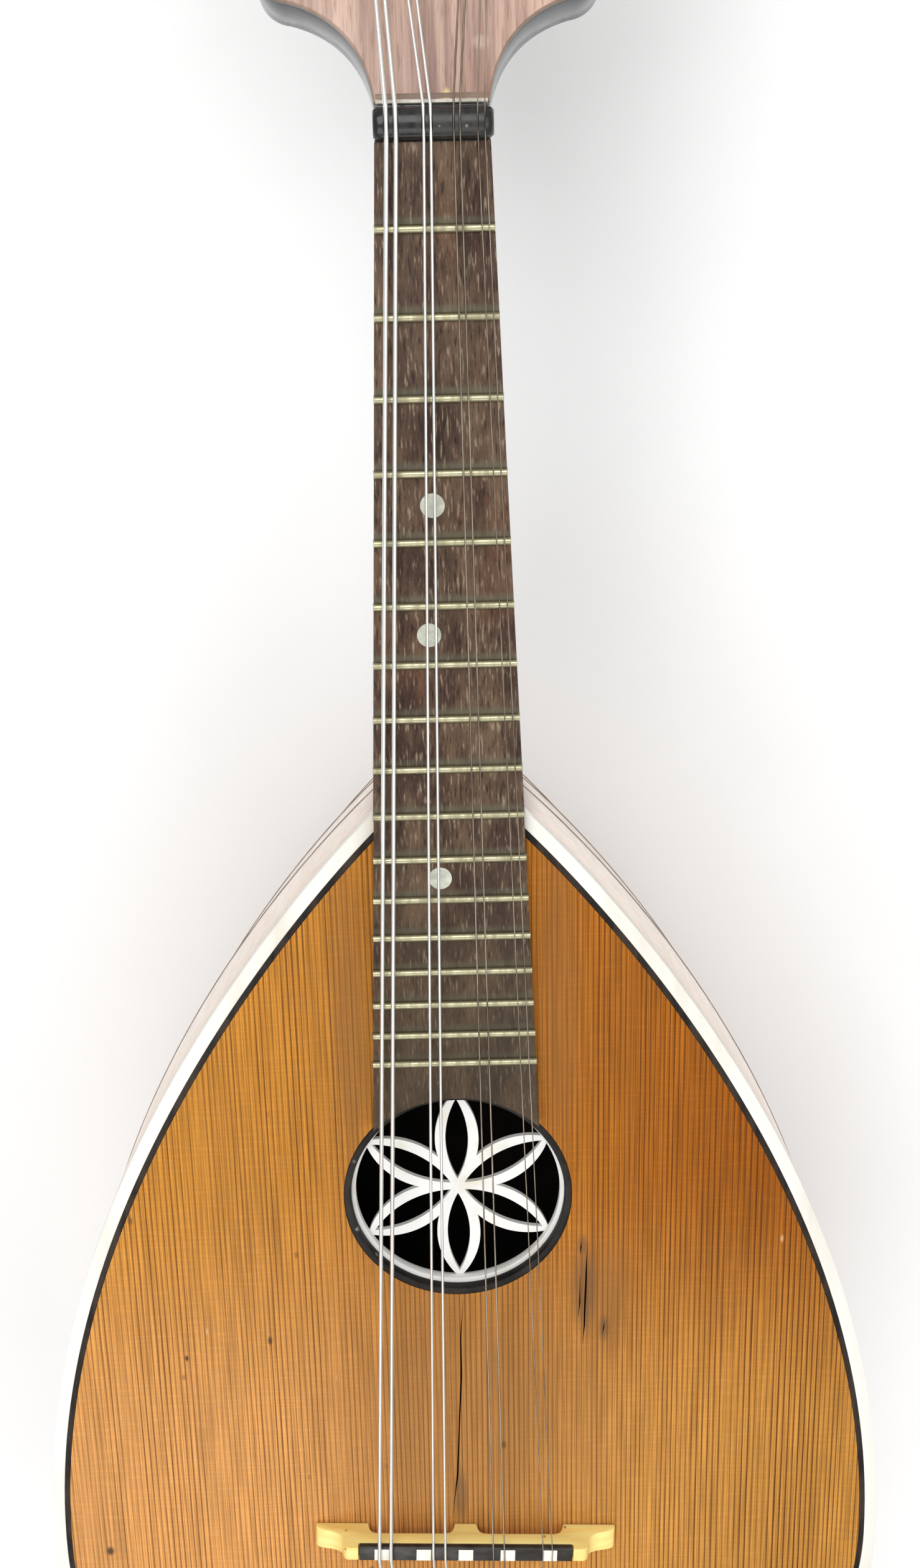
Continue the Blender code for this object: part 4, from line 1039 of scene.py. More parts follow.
@dataclass(frozen=True)
class Spruce:
    """Old varnished spruce: straight dark lines, fine fibres, blotches, marks and stains, with
    painted light: a sheen towards the lower left and shade beside the fingerboard and in the cuts.
    """

    datum: Datum
    hole_along: float
    name: str = "old_spruce"
    # Corner tones, lighter towards the lower left: partly the wood's own tone, partly a painted
    # sheen.
    upper_left: Colour = (0.52, 0.218, 0.029)
    upper_right: Colour = (0.30, 0.081, 0.002)
    lower_left: Colour = (0.665, 0.306, 0.088)
    lower_right: Colour = (0.51, 0.230, 0.042)
    line: Colour = (0.080, 0.018, 0.003)
    # Painted shade for the walls of the cuts, below the face.
    inside: Colour = (0.014, 0.009, 0.006)
    stain: Colour = (0.125, 0.070, 0.034)
    # Colour of the smears: stains, and painted shade beside the fingerboard.
    smear: Colour = (0.24, 0.105, 0.030)
    spot: Colour = (0.10, 0.05, 0.025)
    nick: Colour = (0.86, 0.58, 0.30)
    lines_per_metre: float = 740.0
    stains: tuple[Mark, ...] = (
        (0.0324, 0.2846, 0.0038, 0.0150), (0.0375, 0.2963, 0.0016, 0.0045),
        (0.0318, 0.2718, 0.0016, 0.0040), (-0.0012, 0.3485, 0.0022, 0.0110),
    )
    # The first two smears are stains; the last two are painted shade along the fingerboard's sides,
    # mixed with dirt.
    smears: tuple[Mark, ...] = (
        (0.0375, 0.2880, 0.0085, 0.0230), (0.0010, 0.3200, 0.0440, 0.0560),
        (0.0262, 0.2000, 0.0060, 0.0500), (-0.0258, 0.2050, 0.0050, 0.0480),
    )
    spots: tuple[Mark, ...] = (
        (-0.0975, 0.3640, 0.0013, 0.0017), (-0.0502, 0.2978, 0.0007, 0.0016),
        (-0.0724, 0.3026, 0.0006, 0.0011),
    )

    def near(self, pen: ShaderSketch, places: Sequence[Mark]) -> Socket:
        """How close a point is to any of several marks.

        Args:
            pen: the material under construction.
            places: each mark's across, along, half width and half length.

        Returns:
            1 in the middle of a mark and 0 outside it.
        """
        x, y, _ = pen.axes()
        found = None
        for across, along, wide, long in places:
            u = pen.math("DIVIDE", pen.math("SUBTRACT", x, across), wide)
            v = pen.math("SUBTRACT", y, self.datum.nut_line - along)
            v = pen.math("DIVIDE", v, long)
            away = pen.math("SQRT", pen.math(
                "ADD", pen.math("MULTIPLY", u, u), pen.math("MULTIPLY", v, v)
            ))
            mark = pen.remap(away, 1.2, 0.3)
            found = mark if found is None else pen.math("MAXIMUM", found, mark)
        return found

    @cached_property
    def material(self) -> Material:
        """The finished material."""
        pen = ShaderSketch(self.name, 0.42, Specular_IOR_Level=0.12)
        x, y, z = pen.axes()
        # Blend of the corner tones: the lighter lower left is partly a painted sheen.
        to_right = pen.remap(x, -0.085, 0.105)
        hole_y = self.datum.nut_line - self.hole_along
        down = pen.remap(y, hole_y + 0.012, hole_y - 0.082)
        upper = pen.mix(to_right, self.upper_left, self.upper_right)
        lower = pen.mix(to_right, self.lower_left, self.lower_right)
        colour = pen.mix(down, upper, lower)
        drift = pen.noise(pen.stretched((26.0, 0.8, 1.0)), detail=1.0)
        phase = pen.math("ADD", pen.math("MULTIPLY", x, self.lines_per_metre),
                            pen.math("MULTIPLY", drift, 6.0))
        ring = pen.math("FRACT", phase)
        rise = pen.remap(ring, 0.54, 0.92)
        fall = pen.remap(ring, 1.0, 0.93)
        late = pen.math("MULTIPLY", rise, fall)
        uneven = pen.noise(pen.stretched((240.0, 2.5, 1.0)), detail=1.0)
        strong = pen.remap(uneven, 0.25, 0.70, 0.40, 1.0)
        outer = pen.remap(x, -0.03, 0.10, 0.82, 1.0)
        late = pen.math("MULTIPLY", late, pen.math("MULTIPLY", strong, outer))
        colour = pen.mix(late, colour, self.line)
        fibre = pen.noise(pen.stretched((3200.0, 34.0, 1.0)), detail=3.0)
        tone = pen.remap(fibre, 0.32, 0.68, 0.72, 1.20)
        blotch = pen.noise(pen.stretched((48.0, 12.0, 1.0)), detail=3.0)
        tone = pen.math("MULTIPLY", tone, pen.remap(blotch, 0.3, 0.72, 0.92, 1.07))
        fleck = pen.noise(pen.stretched((120.0, 1500.0, 1.0)), detail=2.0)
        tone = pen.math("MULTIPLY", tone, pen.remap(fleck, 0.45, 0.7, 1.0, 1.10))
        shade = pen.node("ShaderNodeCombineColor", {0: tone, 1: tone, 2: tone}).outputs[0]
        colour = pen.mix(1.0, colour, shade, "MULTIPLY")
        # Smears: stains, and painted shade beside the fingerboard.
        smear = pen.math("MULTIPLY", self.near(pen, self.smears), 0.48)
        colour = pen.mix(smear, colour, self.smear)
        smudge = pen.math("MULTIPLY", self.near(pen, self.stains), 0.60)
        colour = pen.mix(smudge, colour, self.stain)
        colour = pen.mix(self.near(pen, self.spots), colour, self.spot)
        dirt = pen.specks(pen.stretched((1.0, 0.6, 0.0)), 190.0, 0.22, 0.035)
        colour = pen.mix(pen.math("MULTIPLY", dirt, 0.7), colour, self.spot)
        nicks = pen.specks(pen.stretched((1.0, 0.35, 0.0)), 240.0, 0.16, 0.03)
        colour = pen.mix(pen.math("MULTIPLY", nicks, 0.6), colour, self.nick)
        # Painted shade: the walls of the cuts and of the hole, below the face, turn near black.
        below = pen.remap(z, self.datum.face - 0.00002, self.datum.face - 0.00014)
        colour = pen.mix(below, colour, self.inside)
        rough = pen.remap(blotch, 0.3, 0.7, 0.36, 0.52)
        height = pen.math("ADD", pen.math("MULTIPLY", late, -0.7), fibre)
        return pen.done(colour, rough, pen.relief(height, 0.00006, 0.8))


@dataclass(frozen=True)
class RibMaple:
    """Maple ribs: each rib has its own tone, fine lines along it and a faint ripple across."""

    name: str = "rib_maple"
    light: Colour = (0.95, 0.84, 0.75)
    dark: Colour = (0.78, 0.65, 0.56)
    attribute: str = "rib"

    @cached_property
    def material(self) -> Material:
        """The finished material."""
        pen = ShaderSketch(self.name, 0.28, Coat_Weight=0.35, Coat_Roughness=0.15)
        rib = pen.node("ShaderNodeAttribute", attribute_name=self.attribute).outputs["Fac"]
        own = pen.node("ShaderNodeTexWhiteNoise", {"W": rib}, noise_dimensions="1D").outputs[0]
        shift = pen.node("ShaderNodeCombineXYZ", {0: own, 1: rib, 2: own}).outputs[0]
        where = pen.node(
            "ShaderNodeVectorMath", {0: pen.place(), 1: shift}, operation="ADD"
        ).outputs[0]
        lines = pen.node(
            "ShaderNodeMapping", {"Vector": where, "Scale": (420.0, 9.0, 420.0)}
        ).outputs[0]
        ripples = pen.node(
            "ShaderNodeMapping", {"Vector": where, "Scale": (30.0, 190.0, 30.0)}
        ).outputs[0]
        grain = pen.noise(lines, detail=4.0, roughness=0.6)
        ripple = pen.noise(ripples, detail=1.0)
        share = pen.remap(grain, 0.3, 0.7, 0.0, 0.55)
        share = pen.math("ADD", share, pen.remap(ripple, 0.3, 0.7, 0.0, 0.25))
        share = pen.math("ADD", share, pen.math("MULTIPLY", own, 0.3))
        colour = pen.mix(share, self.light, self.dark)
        rough = pen.remap(ripple, 0.3, 0.7, 0.24, 0.34)
        return pen.done(colour, rough, pen.relief(grain, 0.00003))


@dataclass(frozen=True)
class Rosewood:
    """A worn dark fingerboard with pale flecks and grime on the nut side of every fret."""

    datum: Datum
    neck: NeckShape
    name: str = "worn_rosewood"
    light: Colour = (0.150, 0.094, 0.058)
    dark: Colour = (0.046, 0.024, 0.017)
    red: Colour = (0.185, 0.066, 0.034)
    fleck: Colour = (0.42, 0.33, 0.23)
    grime: Colour = (0.125, 0.120, 0.082)
    pore: Colour = (0.018, 0.010, 0.008)
    worn: Colour = (0.052, 0.040, 0.024)

    @cached_property
    def material(self) -> Material:
        """The finished material."""
        pen = ShaderSketch(self.name, 0.5, Specular_IOR_Level=0.14)
        _, y, _ = pen.axes()
        cloud = pen.noise(pen.stretched((140.0, 40.0, 60.0)), detail=5.0, roughness=0.65)
        colour = pen.mix(pen.remap(cloud, 0.32, 0.66), self.dark, self.light)
        patch = pen.noise(pen.stretched((70.0, 22.0, 30.0)), detail=2.0)
        colour = pen.mix(pen.remap(patch, 0.55, 0.75, 0.0, 0.45), colour, self.red)
        pores = pen.noise(pen.stretched((1900.0, 260.0, 300.0)), detail=3.0)
        colour = pen.mix(pen.remap(pores, 0.56, 0.72, 0.0, 0.55), colour, self.fleck)
        colour = pen.mix(pen.remap(pores, 0.45, 0.30, 0.0, 0.8), colour, self.pore)
        along = pen.math("SUBTRACT", self.datum.nut_line, y)
        left = pen.math("SUBTRACT", 1.0, pen.math("DIVIDE", along, self.neck.scale))
        number = pen.math("MULTIPLY", pen.math("LOGARITHM", left, 2.0), -12.0)
        after = pen.math("CEIL", number)
        fret = pen.math("POWER", 2.0, pen.math("DIVIDE", after, -12.0))
        gap = pen.math("MULTIPLY", pen.math("SUBTRACT", left, fret), self.neck.scale)
        band = pen.remap(gap, 0.0032, 0.0016)
        band = pen.math("MULTIPLY", band, pen.remap(cloud, 0.25, 0.6, 0.35, 1.0))
        last = pen.math("LESS_THAN", number, float(self.neck.fret_count))
        band = pen.math("MULTIPLY", band, pen.math("MULTIPLY", last, 0.75))
        colour = pen.mix(band, colour, self.grime)
        dirty = pen.remap(along, 0.130, 0.235, 0.0, 0.65)
        colour = pen.mix(dirty, colour, self.worn)
        rough = pen.remap(patch, 0.3, 0.7, 0.38, 0.55)
        return pen.done(colour, rough, pen.relief(pores, 0.00005))


@dataclass(frozen=True)
class HeadVeneer:
    """Pinkish brown veneer with pale streaks along it, an oval mark and a worn patch."""

    datum: Datum
    name: str = "head_veneer_wood"
    light: Colour = (0.60, 0.405, 0.315)
    dark: Colour = (0.21, 0.105, 0.078)
    oval: Colour = (0.72, 0.56, 0.24)
    worn: Colour = (0.80, 0.66, 0.55)

    @cached_property
    def material(self) -> Material:
        """The finished material."""
        pen = ShaderSketch(self.name, 0.4)
        streak = pen.noise(pen.stretched((520.0, 14.0, 14.0)), detail=4.0, roughness=0.6)
        broad = pen.noise(pen.stretched((60.0, 12.0, 12.0)), detail=2.0)
        both = pen.math("ADD", pen.math("MULTIPLY", streak, 0.6), pen.math("MULTIPLY", broad, 0.4))
        colour = pen.mix(pen.remap(both, 0.36, 0.72), self.light, self.dark)
        pores = pen.noise(pen.stretched((2300.0, 170.0, 170.0)), detail=3.0)
        colour = pen.mix(pen.remap(pores, 0.50, 0.70, 0.0, 0.55), colour, self.dark)
        marks = Spruce(self.datum, 0.0)
        oval = marks.near(pen, ((0.0032, -0.0072, 0.0009, 0.0016),))
        colour = pen.mix(oval, colour, self.oval)
        patch = marks.near(pen, ((0.0106, -0.0176, 0.0022, 0.0017),))
        patch = pen.math("MULTIPLY", patch, pen.remap(streak, 0.35, 0.6))
        colour = pen.mix(pen.math("MULTIPLY", patch, 0.35), colour, self.worn)
        return pen.done(colour, None, pen.relief(streak, 0.00005))


class Finish(Enum):
    """The plain finishes of the instrument and of the room."""

    # Near black: painted shade for the inside of the bowl.
    LINING = Mottled(
        "dark_lining", (0.020, 0.014, 0.010), (0.010, 0.007, 0.005),
        roughness=(0.8, 0.95),
    )
    SEAM = Mottled("rib_seam", (0.32, 0.22, 0.16), (0.18, 0.12, 0.08))
    IVOROID = Mottled(
        "ivoroid_edging", (0.83, 0.81, 0.75), (0.66, 0.60, 0.47), (60.0, 9.0, 60.0),
        contrast=(0.45, 0.85), roughness=(0.28, 0.42), coat=0.2,
        wear=(0.30, 0.24, 0.15), wear_scale=170.0, wear_share=0.05,
    )
    FLOWER = Mottled(
        "flower_ivoroid", (0.85, 0.84, 0.81), (0.70, 0.64, 0.48), (95.0, 95.0, 95.0),
        contrast=(0.5, 0.85), roughness=(0.35, 0.5), wear=(0.40, 0.35, 0.24),
        wear_scale=320.0, wear_share=0.05,
    )
    PURFLING = Mottled(
        "dark_purfling", (0.045, 0.032, 0.024), (0.012, 0.010, 0.009),
        (300.0, 60.0, 60.0), roughness=(0.5, 0.65), specular=0.15,
    )
    HOOP = Mottled(
        "worn_black_hoop", (0.012, 0.011, 0.010), (0.034, 0.030, 0.026),
        roughness=(0.4, 0.55), specular=0.12, wear=(0.22, 0.19, 0.14),
        wear_scale=420.0, wear_share=0.07,
    )
    NECK = Mottled(
        "dark_neck_lacquer", (0.050, 0.056, 0.066), (0.026, 0.026, 0.030),
        (160.0, 10.0, 160.0), roughness=(0.16, 0.28), coat=0.5,
        wear=(0.12, 0.10, 0.09), wear_scale=150.0, wear_share=0.03,
    )
    PALE_STRIP = Mottled(
        "nut_strip", (0.78, 0.76, 0.68), (0.50, 0.46, 0.36), (420.0, 60.0, 60.0),
        roughness=(0.4, 0.6),
    )
    PEARL = Mottled(
        "pearl_dot", (0.68, 0.69, 0.57), (0.42, 0.44, 0.36), (260.0, 420.0, 60.0),
        roughness=(0.12, 0.3), coat=0.4,
    )
    BRASS = Mottled(
        "fret_wire", (0.50, 0.47, 0.31), (0.33, 0.30, 0.19), (420.0, 120.0, 120.0),
        roughness=(0.28, 0.5), metallic=1.0,
    )
    NUT = Mottled(
        "gloss_black", (0.016, 0.016, 0.016), (0.034, 0.033, 0.030), (300.0, 90.0, 90.0),
        roughness=(0.16, 0.34), specular=0.4, wear=(0.20, 0.19, 0.16),
        wear_scale=700.0, wear_share=0.05,
    )
    BRIDGE = Mottled(
        "bridge_maple", (1.00, 0.84, 0.32), (0.98, 0.70, 0.21), (34.0, 420.0, 420.0),
        roughness=(0.35, 0.5), wear=(0.50, 0.26, 0.10), wear_scale=520.0,
        wear_share=0.05,
    )
    SADDLE = Mottled(
        "black_strip", (0.045, 0.038, 0.030), (0.016, 0.014, 0.012),
        (200.0, 420.0, 200.0), roughness=(0.3, 0.45), specular=0.35,
    )
    INSERT = Mottled(
        "bone_insert", (0.94, 0.92, 0.84), (0.84, 0.80, 0.68), (420.0, 420.0, 420.0),
        roughness=(0.3, 0.45),
    )
    WOUND = Mottled(
        "wound_string", (0.95, 0.95, 0.92), (0.78, 0.78, 0.75), (60.0, 60.0, 60.0),
        roughness=(0.34, 0.46), metallic=1.0,
    )
    PLAIN = Mottled(
        "plain_string", (0.42, 0.37, 0.30), (0.16, 0.12, 0.09), (60.0, 40.0, 60.0),
        roughness=(0.25, 0.4), metallic=1.0,
    )
    NICKEL = Mottled(
        "worn_nickel", (0.66, 0.64, 0.60), (0.42, 0.40, 0.36), roughness=(0.18, 0.38),
        metallic=1.0, wear=(0.25, 0.20, 0.13), wear_scale=420.0,
    )
    BUTTON = Mottled(
        "button_ivoroid", (0.82, 0.77, 0.64), (0.66, 0.57, 0.40), (120.0, 40.0, 120.0),
        roughness=(0.2, 0.35), coat=0.4,
    )
    EBONY = Mottled(
        "turned_ebony", (0.030, 0.026, 0.024), (0.014, 0.012, 0.012),
        (420.0, 60.0, 60.0), roughness=(0.2, 0.35),
    )
    BLOCK = Mottled(
        "bare_spruce", (0.58, 0.40, 0.22), (0.40, 0.25, 0.12), (420.0, 420.0, 20.0),
        roughness=(0.65, 0.8),
    )
    FLOOR = Mottled(
        "pale_floor", (0.93, 0.93, 0.93), (0.90, 0.90, 0.90), (4.0, 4.0, 4.0),
        roughness=(0.6, 0.75), depth=0.00001,
    )

    @cached_property
    def material(self) -> Material:
        """The finish's material, made when it is first asked for."""
        return self.value.build()


# ---- body ----
@dataclass
class Bowl:
    """The ribbed back with its seams, a near-black sheet inside it as painted shade, and its bare
    wooden blocks.
    """

    datum: Datum
    shape: BodyShape
    wires: WireTree
    ribs: int = 15
    wall: float = 0.0023
    # Thickness of the near-black sheet of painted shade inside the shell.
    lining: float = 0.0001
    seam_radius: float = 0.00022
    upper_steps: int = 30
    lower_steps: int = 30

    def rows(self) -> list[Outline]:
        """Rings of the outside from the heel towards the tail, from rim to rim."""
        joint, tail = self.shape.joint, self.shape.tail
        deepest = tail - self.shape.deepest_from_tail
        upper, lower = self.upper_steps, self.lower_steps
        stops = [joint + (deepest - joint) * i / upper for i in range(upper)]
        stops += [deepest + (tail - deepest) * sin(pi / 2 * i / lower) for i in range(lower)]
        edge, keel = self.shape.edge(), self.shape.keel()
        drop = self.datum.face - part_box("bowl")[1].z
        made = []
        for along in stops:
            ring = self.shape.section(
                self.shape.read(edge, along), self.shape.read(keel, along), self.ribs, True
            )
            made.append([self.datum.at(x, along, z - drop) for x, z in ring])
        made.append([self.datum.at(0.0, tail, -drop)] * (self.ribs + 1))
        return made

    def skin(self) -> Mesh:
        """The outside as one open surface, sharp along its seams and numbered by rib."""
        bm = bmesh.new()
        rib = bm.faces.layers.float.new(RibMaple.attribute)
        grid = [[bm.verts.new(p) for p in row] for row in self.rows()]
        for near, far in zip(grid, grid[1:]):
            for i in range(self.ribs):
                face = bm.faces.new((near[i], near[i + 1], far[i + 1], far[i]))
                face[rib] = (i + 1) / self.ribs
                face.smooth = True
        for i in range(1, self.ribs):
            for near, far in zip(grid, grid[1:]):
                edge = bm.edges.get((near[i], far[i]))
                if edge:
                    edge.smooth = False
        bmesh.ops.remove_doubles(bm, verts=bm.verts, dist=STRAIGHT)
        bmesh.ops.recalc_face_normals(bm, faces=bm.faces)
        lowest = min(bm.faces, key=lambda face: face.calc_center_median().z)
        if lowest.normal.z > 0:
            bmesh.ops.reverse_faces(bm, faces=bm.faces)
        mesh = bpy.data.meshes.new("bowl_skin")
        bm.to_mesh(mesh)
        bm.free()
        return mesh

    def build(self) -> None:
        """Place the bowl and dress what is inside it."""
        skin = self.skin()
        shell = with_modifier(skin.copy(), "SOLIDIFY", thickness=self.wall, offset=-1.0)
        put("bowl_ribs", shell, RibMaple(), nodes=["bowl"], sharp=None)
        # A near-black sheet just inside the shell: painted shade for the inside of the bowl.
        inner = with_modifier(
            skin, "DISPLACE", strength=-self.wall - self.lining / 2, mid_level=0.0
        )
        inner = with_modifier(inner, "SOLIDIFY", thickness=self.lining, offset=-1.0)
        put("bowl_lining", inner, Finish.LINING, sharp=None)
        rows = self.rows()
        seams = [[row[i] for row in rows] for i in range(1, self.ribs)]
        mesh = self.wires.wire("bowl_seams", seams, self.seam_radius, 0.004, Finish.SEAM, sides=6)
        put("bowl_seams", mesh, Finish.SEAM, sharp=None)
        for node in ("neck_block", "tail_block", "brace_upper", "brace_lower"):
            dress(node, Finish.BLOCK)


@dataclass(frozen=True)
class Scratch:
    """A cut in the soundboard: its points and its width and depth."""

    points: tuple[tuple[float, float], ...]
    width: float
    depth: float

    def cutter(self, datum: Datum) -> Mesh:
        """A wedge along the cut, narrow at both ends.

        Args:
            datum: the reference lines.

        Returns:
            The mesh.
        """
        rings = []
        last = len(self.points) - 1
        for i, (across, along) in enumerate(self.points):
            wide = self.width / 2 * (0.25 if i in (0, last) else 1.0 - 0.25 * (i % 2))
            deep = self.depth * (0.3 if i in (0, last) else 1.0)
            rings.append([
                datum.at(across - wide, along, self.depth), datum.at(across, along, -deep),
                datum.at(across + wide, along, self.depth),
            ])
        return lofted(rings)


@dataclass
class Soundboard:
    """The front with its crack and gouges, its dark line and its pale edging."""

    datum: Datum
    shape: BodyShape
    hole: SoundHole
    thickness: float = 0.0026
    binding: float = 0.0033
    purfling: float = 0.0014
    clearance: float = 0.00005
    edge_rounding: float = 0.00012
    hole_steps: int = 96
    scratches: tuple[Scratch, ...] = (
        Scratch((
            (0.0006, 0.2869), (-0.0002, 0.2983), (-0.0003, 0.3109), (-0.0011, 0.3256),
            (-0.0019, 0.3416), (-0.0035, 0.3557),
        ), 0.00095, 0.0011),
        Scratch(((0.0315, 0.2702), (0.0314, 0.2720), (0.0313, 0.2738)), 0.0010, 0.0006),
        Scratch((
            (0.0331, 0.2700), (0.0328, 0.2791), (0.0326, 0.2856), (0.0323, 0.2955),
            (0.0319, 0.3012),
        ), 0.0011, 0.0008),
        Scratch(((0.0312, 0.2800), (0.0311, 0.2886), (0.0307, 0.2930)), 0.0010, 0.0008),
        Scratch(((0.0376, 0.2941), (0.0374, 0.2963), (0.0371, 0.2985)), 0.0009, 0.0006),
    )

    def board(self) -> Mesh:
        """The plate with its hole and its cuts."""
        edge = self.shape.rim(self.binding + self.purfling + self.clearance)
        hole = circle(0.0, self.hole.along, self.hole.outer + self.clearance, self.hole_steps)
        mesh = plate(
            [self.datum.flat(edge), self.datum.flat(hole)],
            self.datum.face - self.thickness, self.datum.face,
        )
        for scratch in self.scratches:
            mesh = combined(mesh, scratch.cutter(self.datum), "DIFFERENCE")
        return mesh

    def ring(self, outer: float, inner: float, rise: float) -> Mesh:
        """A strip along the edge, between two distances from it."""
        outline = self.shape.rim(outer) + list(reversed(self.shape.rim(inner)))
        face = self.datum.face
        return plate(
            [self.datum.flat(outline)], face - self.thickness, face + rise, self.edge_rounding
        )

    def build(self) -> None:
        """Place the front and its edging."""
        spruce = Spruce(self.datum, self.hole.along)
        put("front", self.board(), spruce, nodes=["soundboard"])
        dark = self.ring(self.binding, self.binding + self.purfling, 0.00003)
        put("front_line", dark, Finish.PURFLING)
        pale = self.ring(0.0, self.binding - self.clearance, 0.00006)
        put("edging", pale, Finish.IVOROID, nodes=["binding"])


@dataclass
class Rosette:
    """The black hoop, the pale rim inside it and the flower of looped strips."""

    datum: Datum
    hole: SoundHole
    steps: int = 96
    depth: float = 0.0026
    rise: float = 0.00015
    rounding: float = 0.0004
    drop: float = 0.0021
    thickness: float = 0.0014
    seat: float = 0.0044

    def centre(self, height: float) -> Matrix:
        """A shift to the middle of the hole."""
        return Matrix.Translation(self.datum.at(0.0, self.hole.along, height))

    def hoop(self) -> Mesh:
        """The ring that lines the hole."""
        outer, inner, top, soft = self.hole.outer, self.hole.inner, self.rise, self.rounding
        return turned([
            (outer, -self.depth), (outer, top - soft), (outer - soft * 0.3, top - soft * 0.3),
            (outer - soft, top), (inner + soft, top), (inner + soft * 0.3, top - soft * 0.3),
            (inner, top - soft), (inner, -self.depth),
        ], self.steps)

    def flower(self) -> Mesh:
        """The rim and the flower under it."""
        top = -self.depth - 0.0003
        outer, inner, soft = self.hole.outer + self.seat, self.hole.rim_inner, self.rounding
        low = top - self.drop
        rim = turned([
            (outer, low), (outer, top), (inner + soft, top), (inner + soft * 0.3, top - soft * 0.3),
            (inner, top - soft), (inner, low),
        ], self.steps)
        edge = circle(0.0, self.hole.along, outer - 0.0006, self.steps)
        outlines = [self.datum.flat(o) for o in (edge, *self.hole.openings())]
        face = self.datum.face
        petals = plate(outlines, face + low - self.thickness, face + low)
        return joined([moved(rim, self.centre(0.0)), petals])

    def build(self) -> None:
        """Place the hoop and the flower."""
        hoop = moved(self.hoop(), self.centre(0.0))
        put("hoop", hoop, Finish.HOOP, nodes=["soundhole_ring"])
        put("flower", self.flower(), Finish.FLOWER, nodes=["rosette"])


# ---- neck ----
@dataclass
class Fingerboard:
    """The board with its dots, its frets and the nut at its end."""

    datum: Datum
    neck: NeckShape
    hole: SoundHole
    copies: ScatterTree
    strings: Strings
    top: float = 0.0032
    low: float = 0.0003
    fret_half_width: float = 0.0010
    fret_height: float = 0.0010
    fret_slope: float = 0.25
    pattern_half_length: float = 0.02
    dot_radius: float = 0.00285
    dots: tuple[tuple[float, float], ...] = (
        (-0.0020, 0.0785), (-0.0035, 0.1081), (-0.0024, 0.1676),
    )
    nut_left: float = 0.0124
    nut_right: float = 0.0129
    nut_rise: float = 0.0030
    nut_shoulder: float = 0.62

    def board(self) -> Mesh:
        """A tapered board whose end follows the sound hole."""
        start = self.datum.nut_front + self.low
        radius = self.hole.outer + self.low
        sweep = asin(self.neck.half_width(self.hole.along - radius) / radius)
        steps = 40
        arc = []
        for i in range(steps + 1):
            turn = sweep - 2 * sweep * i / steps
            arc.append(Vector((radius * sin(turn), self.hole.along - radius * cos(turn))))
        width = self.neck.half_width(start)
        outline = [Vector((-width, start)), Vector((width, start)), *arc]
        face = self.datum.face
        return plate([self.datum.flat(outline)], face + self.low, face + self.top, edge=0.00025)

    def fret_pattern(self) -> Mesh:
        """A fret wire across the middle, with its ends filed at a slope."""
        steps = 12
        profile = [
            (self.fret_half_width * cos(pi * i / steps),
             self.fret_height * sin(pi * i / steps)) for i in range(steps + 1)
        ]
        length = self.pattern_half_length
        return lofted([
            [Vector((side * (length - self.fret_slope * z), y, z)) for y, z in profile]
            for side in (-1, 1)
        ])

    def frets(self) -> Mesh:
        """Every fret, stretched to the board's width."""
        places, sizes = [], []
        for number in range(1, self.neck.fret_count + 1):
            along = self.neck.fret_along(number)
            places.append(self.datum.at(0.0, along, self.top + 0.0001))
            width = self.neck.half_width(along)
            sizes.append(Vector((width / self.pattern_half_length, 1.0, 1.0)))
        return self.copies.row("frets", self.fret_pattern(), places, Finish.BRASS, sizes)

    def nut(self) -> Mesh:
        """The rounded bar, with a slot under each string."""
        middle = (self.datum.nut_front - self.datum.nut_back) / 2
        half = (self.datum.nut_front + self.datum.nut_back) / 2
        top = self.top + self.nut_rise
        shoulder = top * self.nut_shoulder
        steps = 16
        profile = [(-half, self.low), (half, self.low)]
        for i in range(steps + 1):
            turn = pi * i / steps
            profile.append((half * cos(turn), shoulder + (top - shoulder) * sin(turn)))
        rings = []
        stops = [(-1, 0.0, 0.86), (-1, 0.0004, 0.95), (-1, 0.0012, 1.0),
                 (1, 0.0018, 1.0), (1, 0.0006, 0.93), (1, 0.0, 0.78)]
        for side, inwards, size in stops:
            end = self.nut_right if side > 0 else self.nut_left
            rings.append([
                self.datum.at(side * (end - inwards), middle + y * size,
                              self.low + (z - self.low) * size)
                for y, z in profile
            ])
        mesh = lofted(rings)
        cuts = []
        for path, radius in self.strings.paths():
            level = path[2].z - self.datum.face - radius * 1.1
            across = path[2].x
            half_slot = radius * 1.25
            cuts.append(block(
                self.datum.at(across - half_slot, self.datum.nut_front + 0.003, level),
                self.datum.at(across + half_slot, -self.datum.nut_back - 0.003, top + 0.003),
            ))
        return combined(mesh, joined(cuts), "DIFFERENCE")

    def build(self) -> None:
        """Place the board, the dots, the frets and the nut."""
        rosewood = Rosewood(self.datum, self.neck)
        put("board", self.board(), rosewood, nodes=["fingerboard"])
        disc = turned([
            (0.0, 0.00004), (self.dot_radius - 0.0001, 0.00004), (self.dot_radius, -0.0002),
            (self.dot_radius, -0.0008), (0.0, -0.0008),
        ], 40)
        places = [self.datum.at(x, y, self.top) for x, y in self.dots]
        dots = self.copies.row("dots", disc, places, Finish.PEARL)
        put("dots", dots, Finish.PEARL)
        names = [f"fret_{n:02d}" for n in range(1, self.neck.fret_count + 1)]
        put("frets", self.frets(), Finish.BRASS, nodes=names, sharp=50)
        put("nut_bar", self.nut(), Finish.NUT, nodes=["nut"], sharp=50)


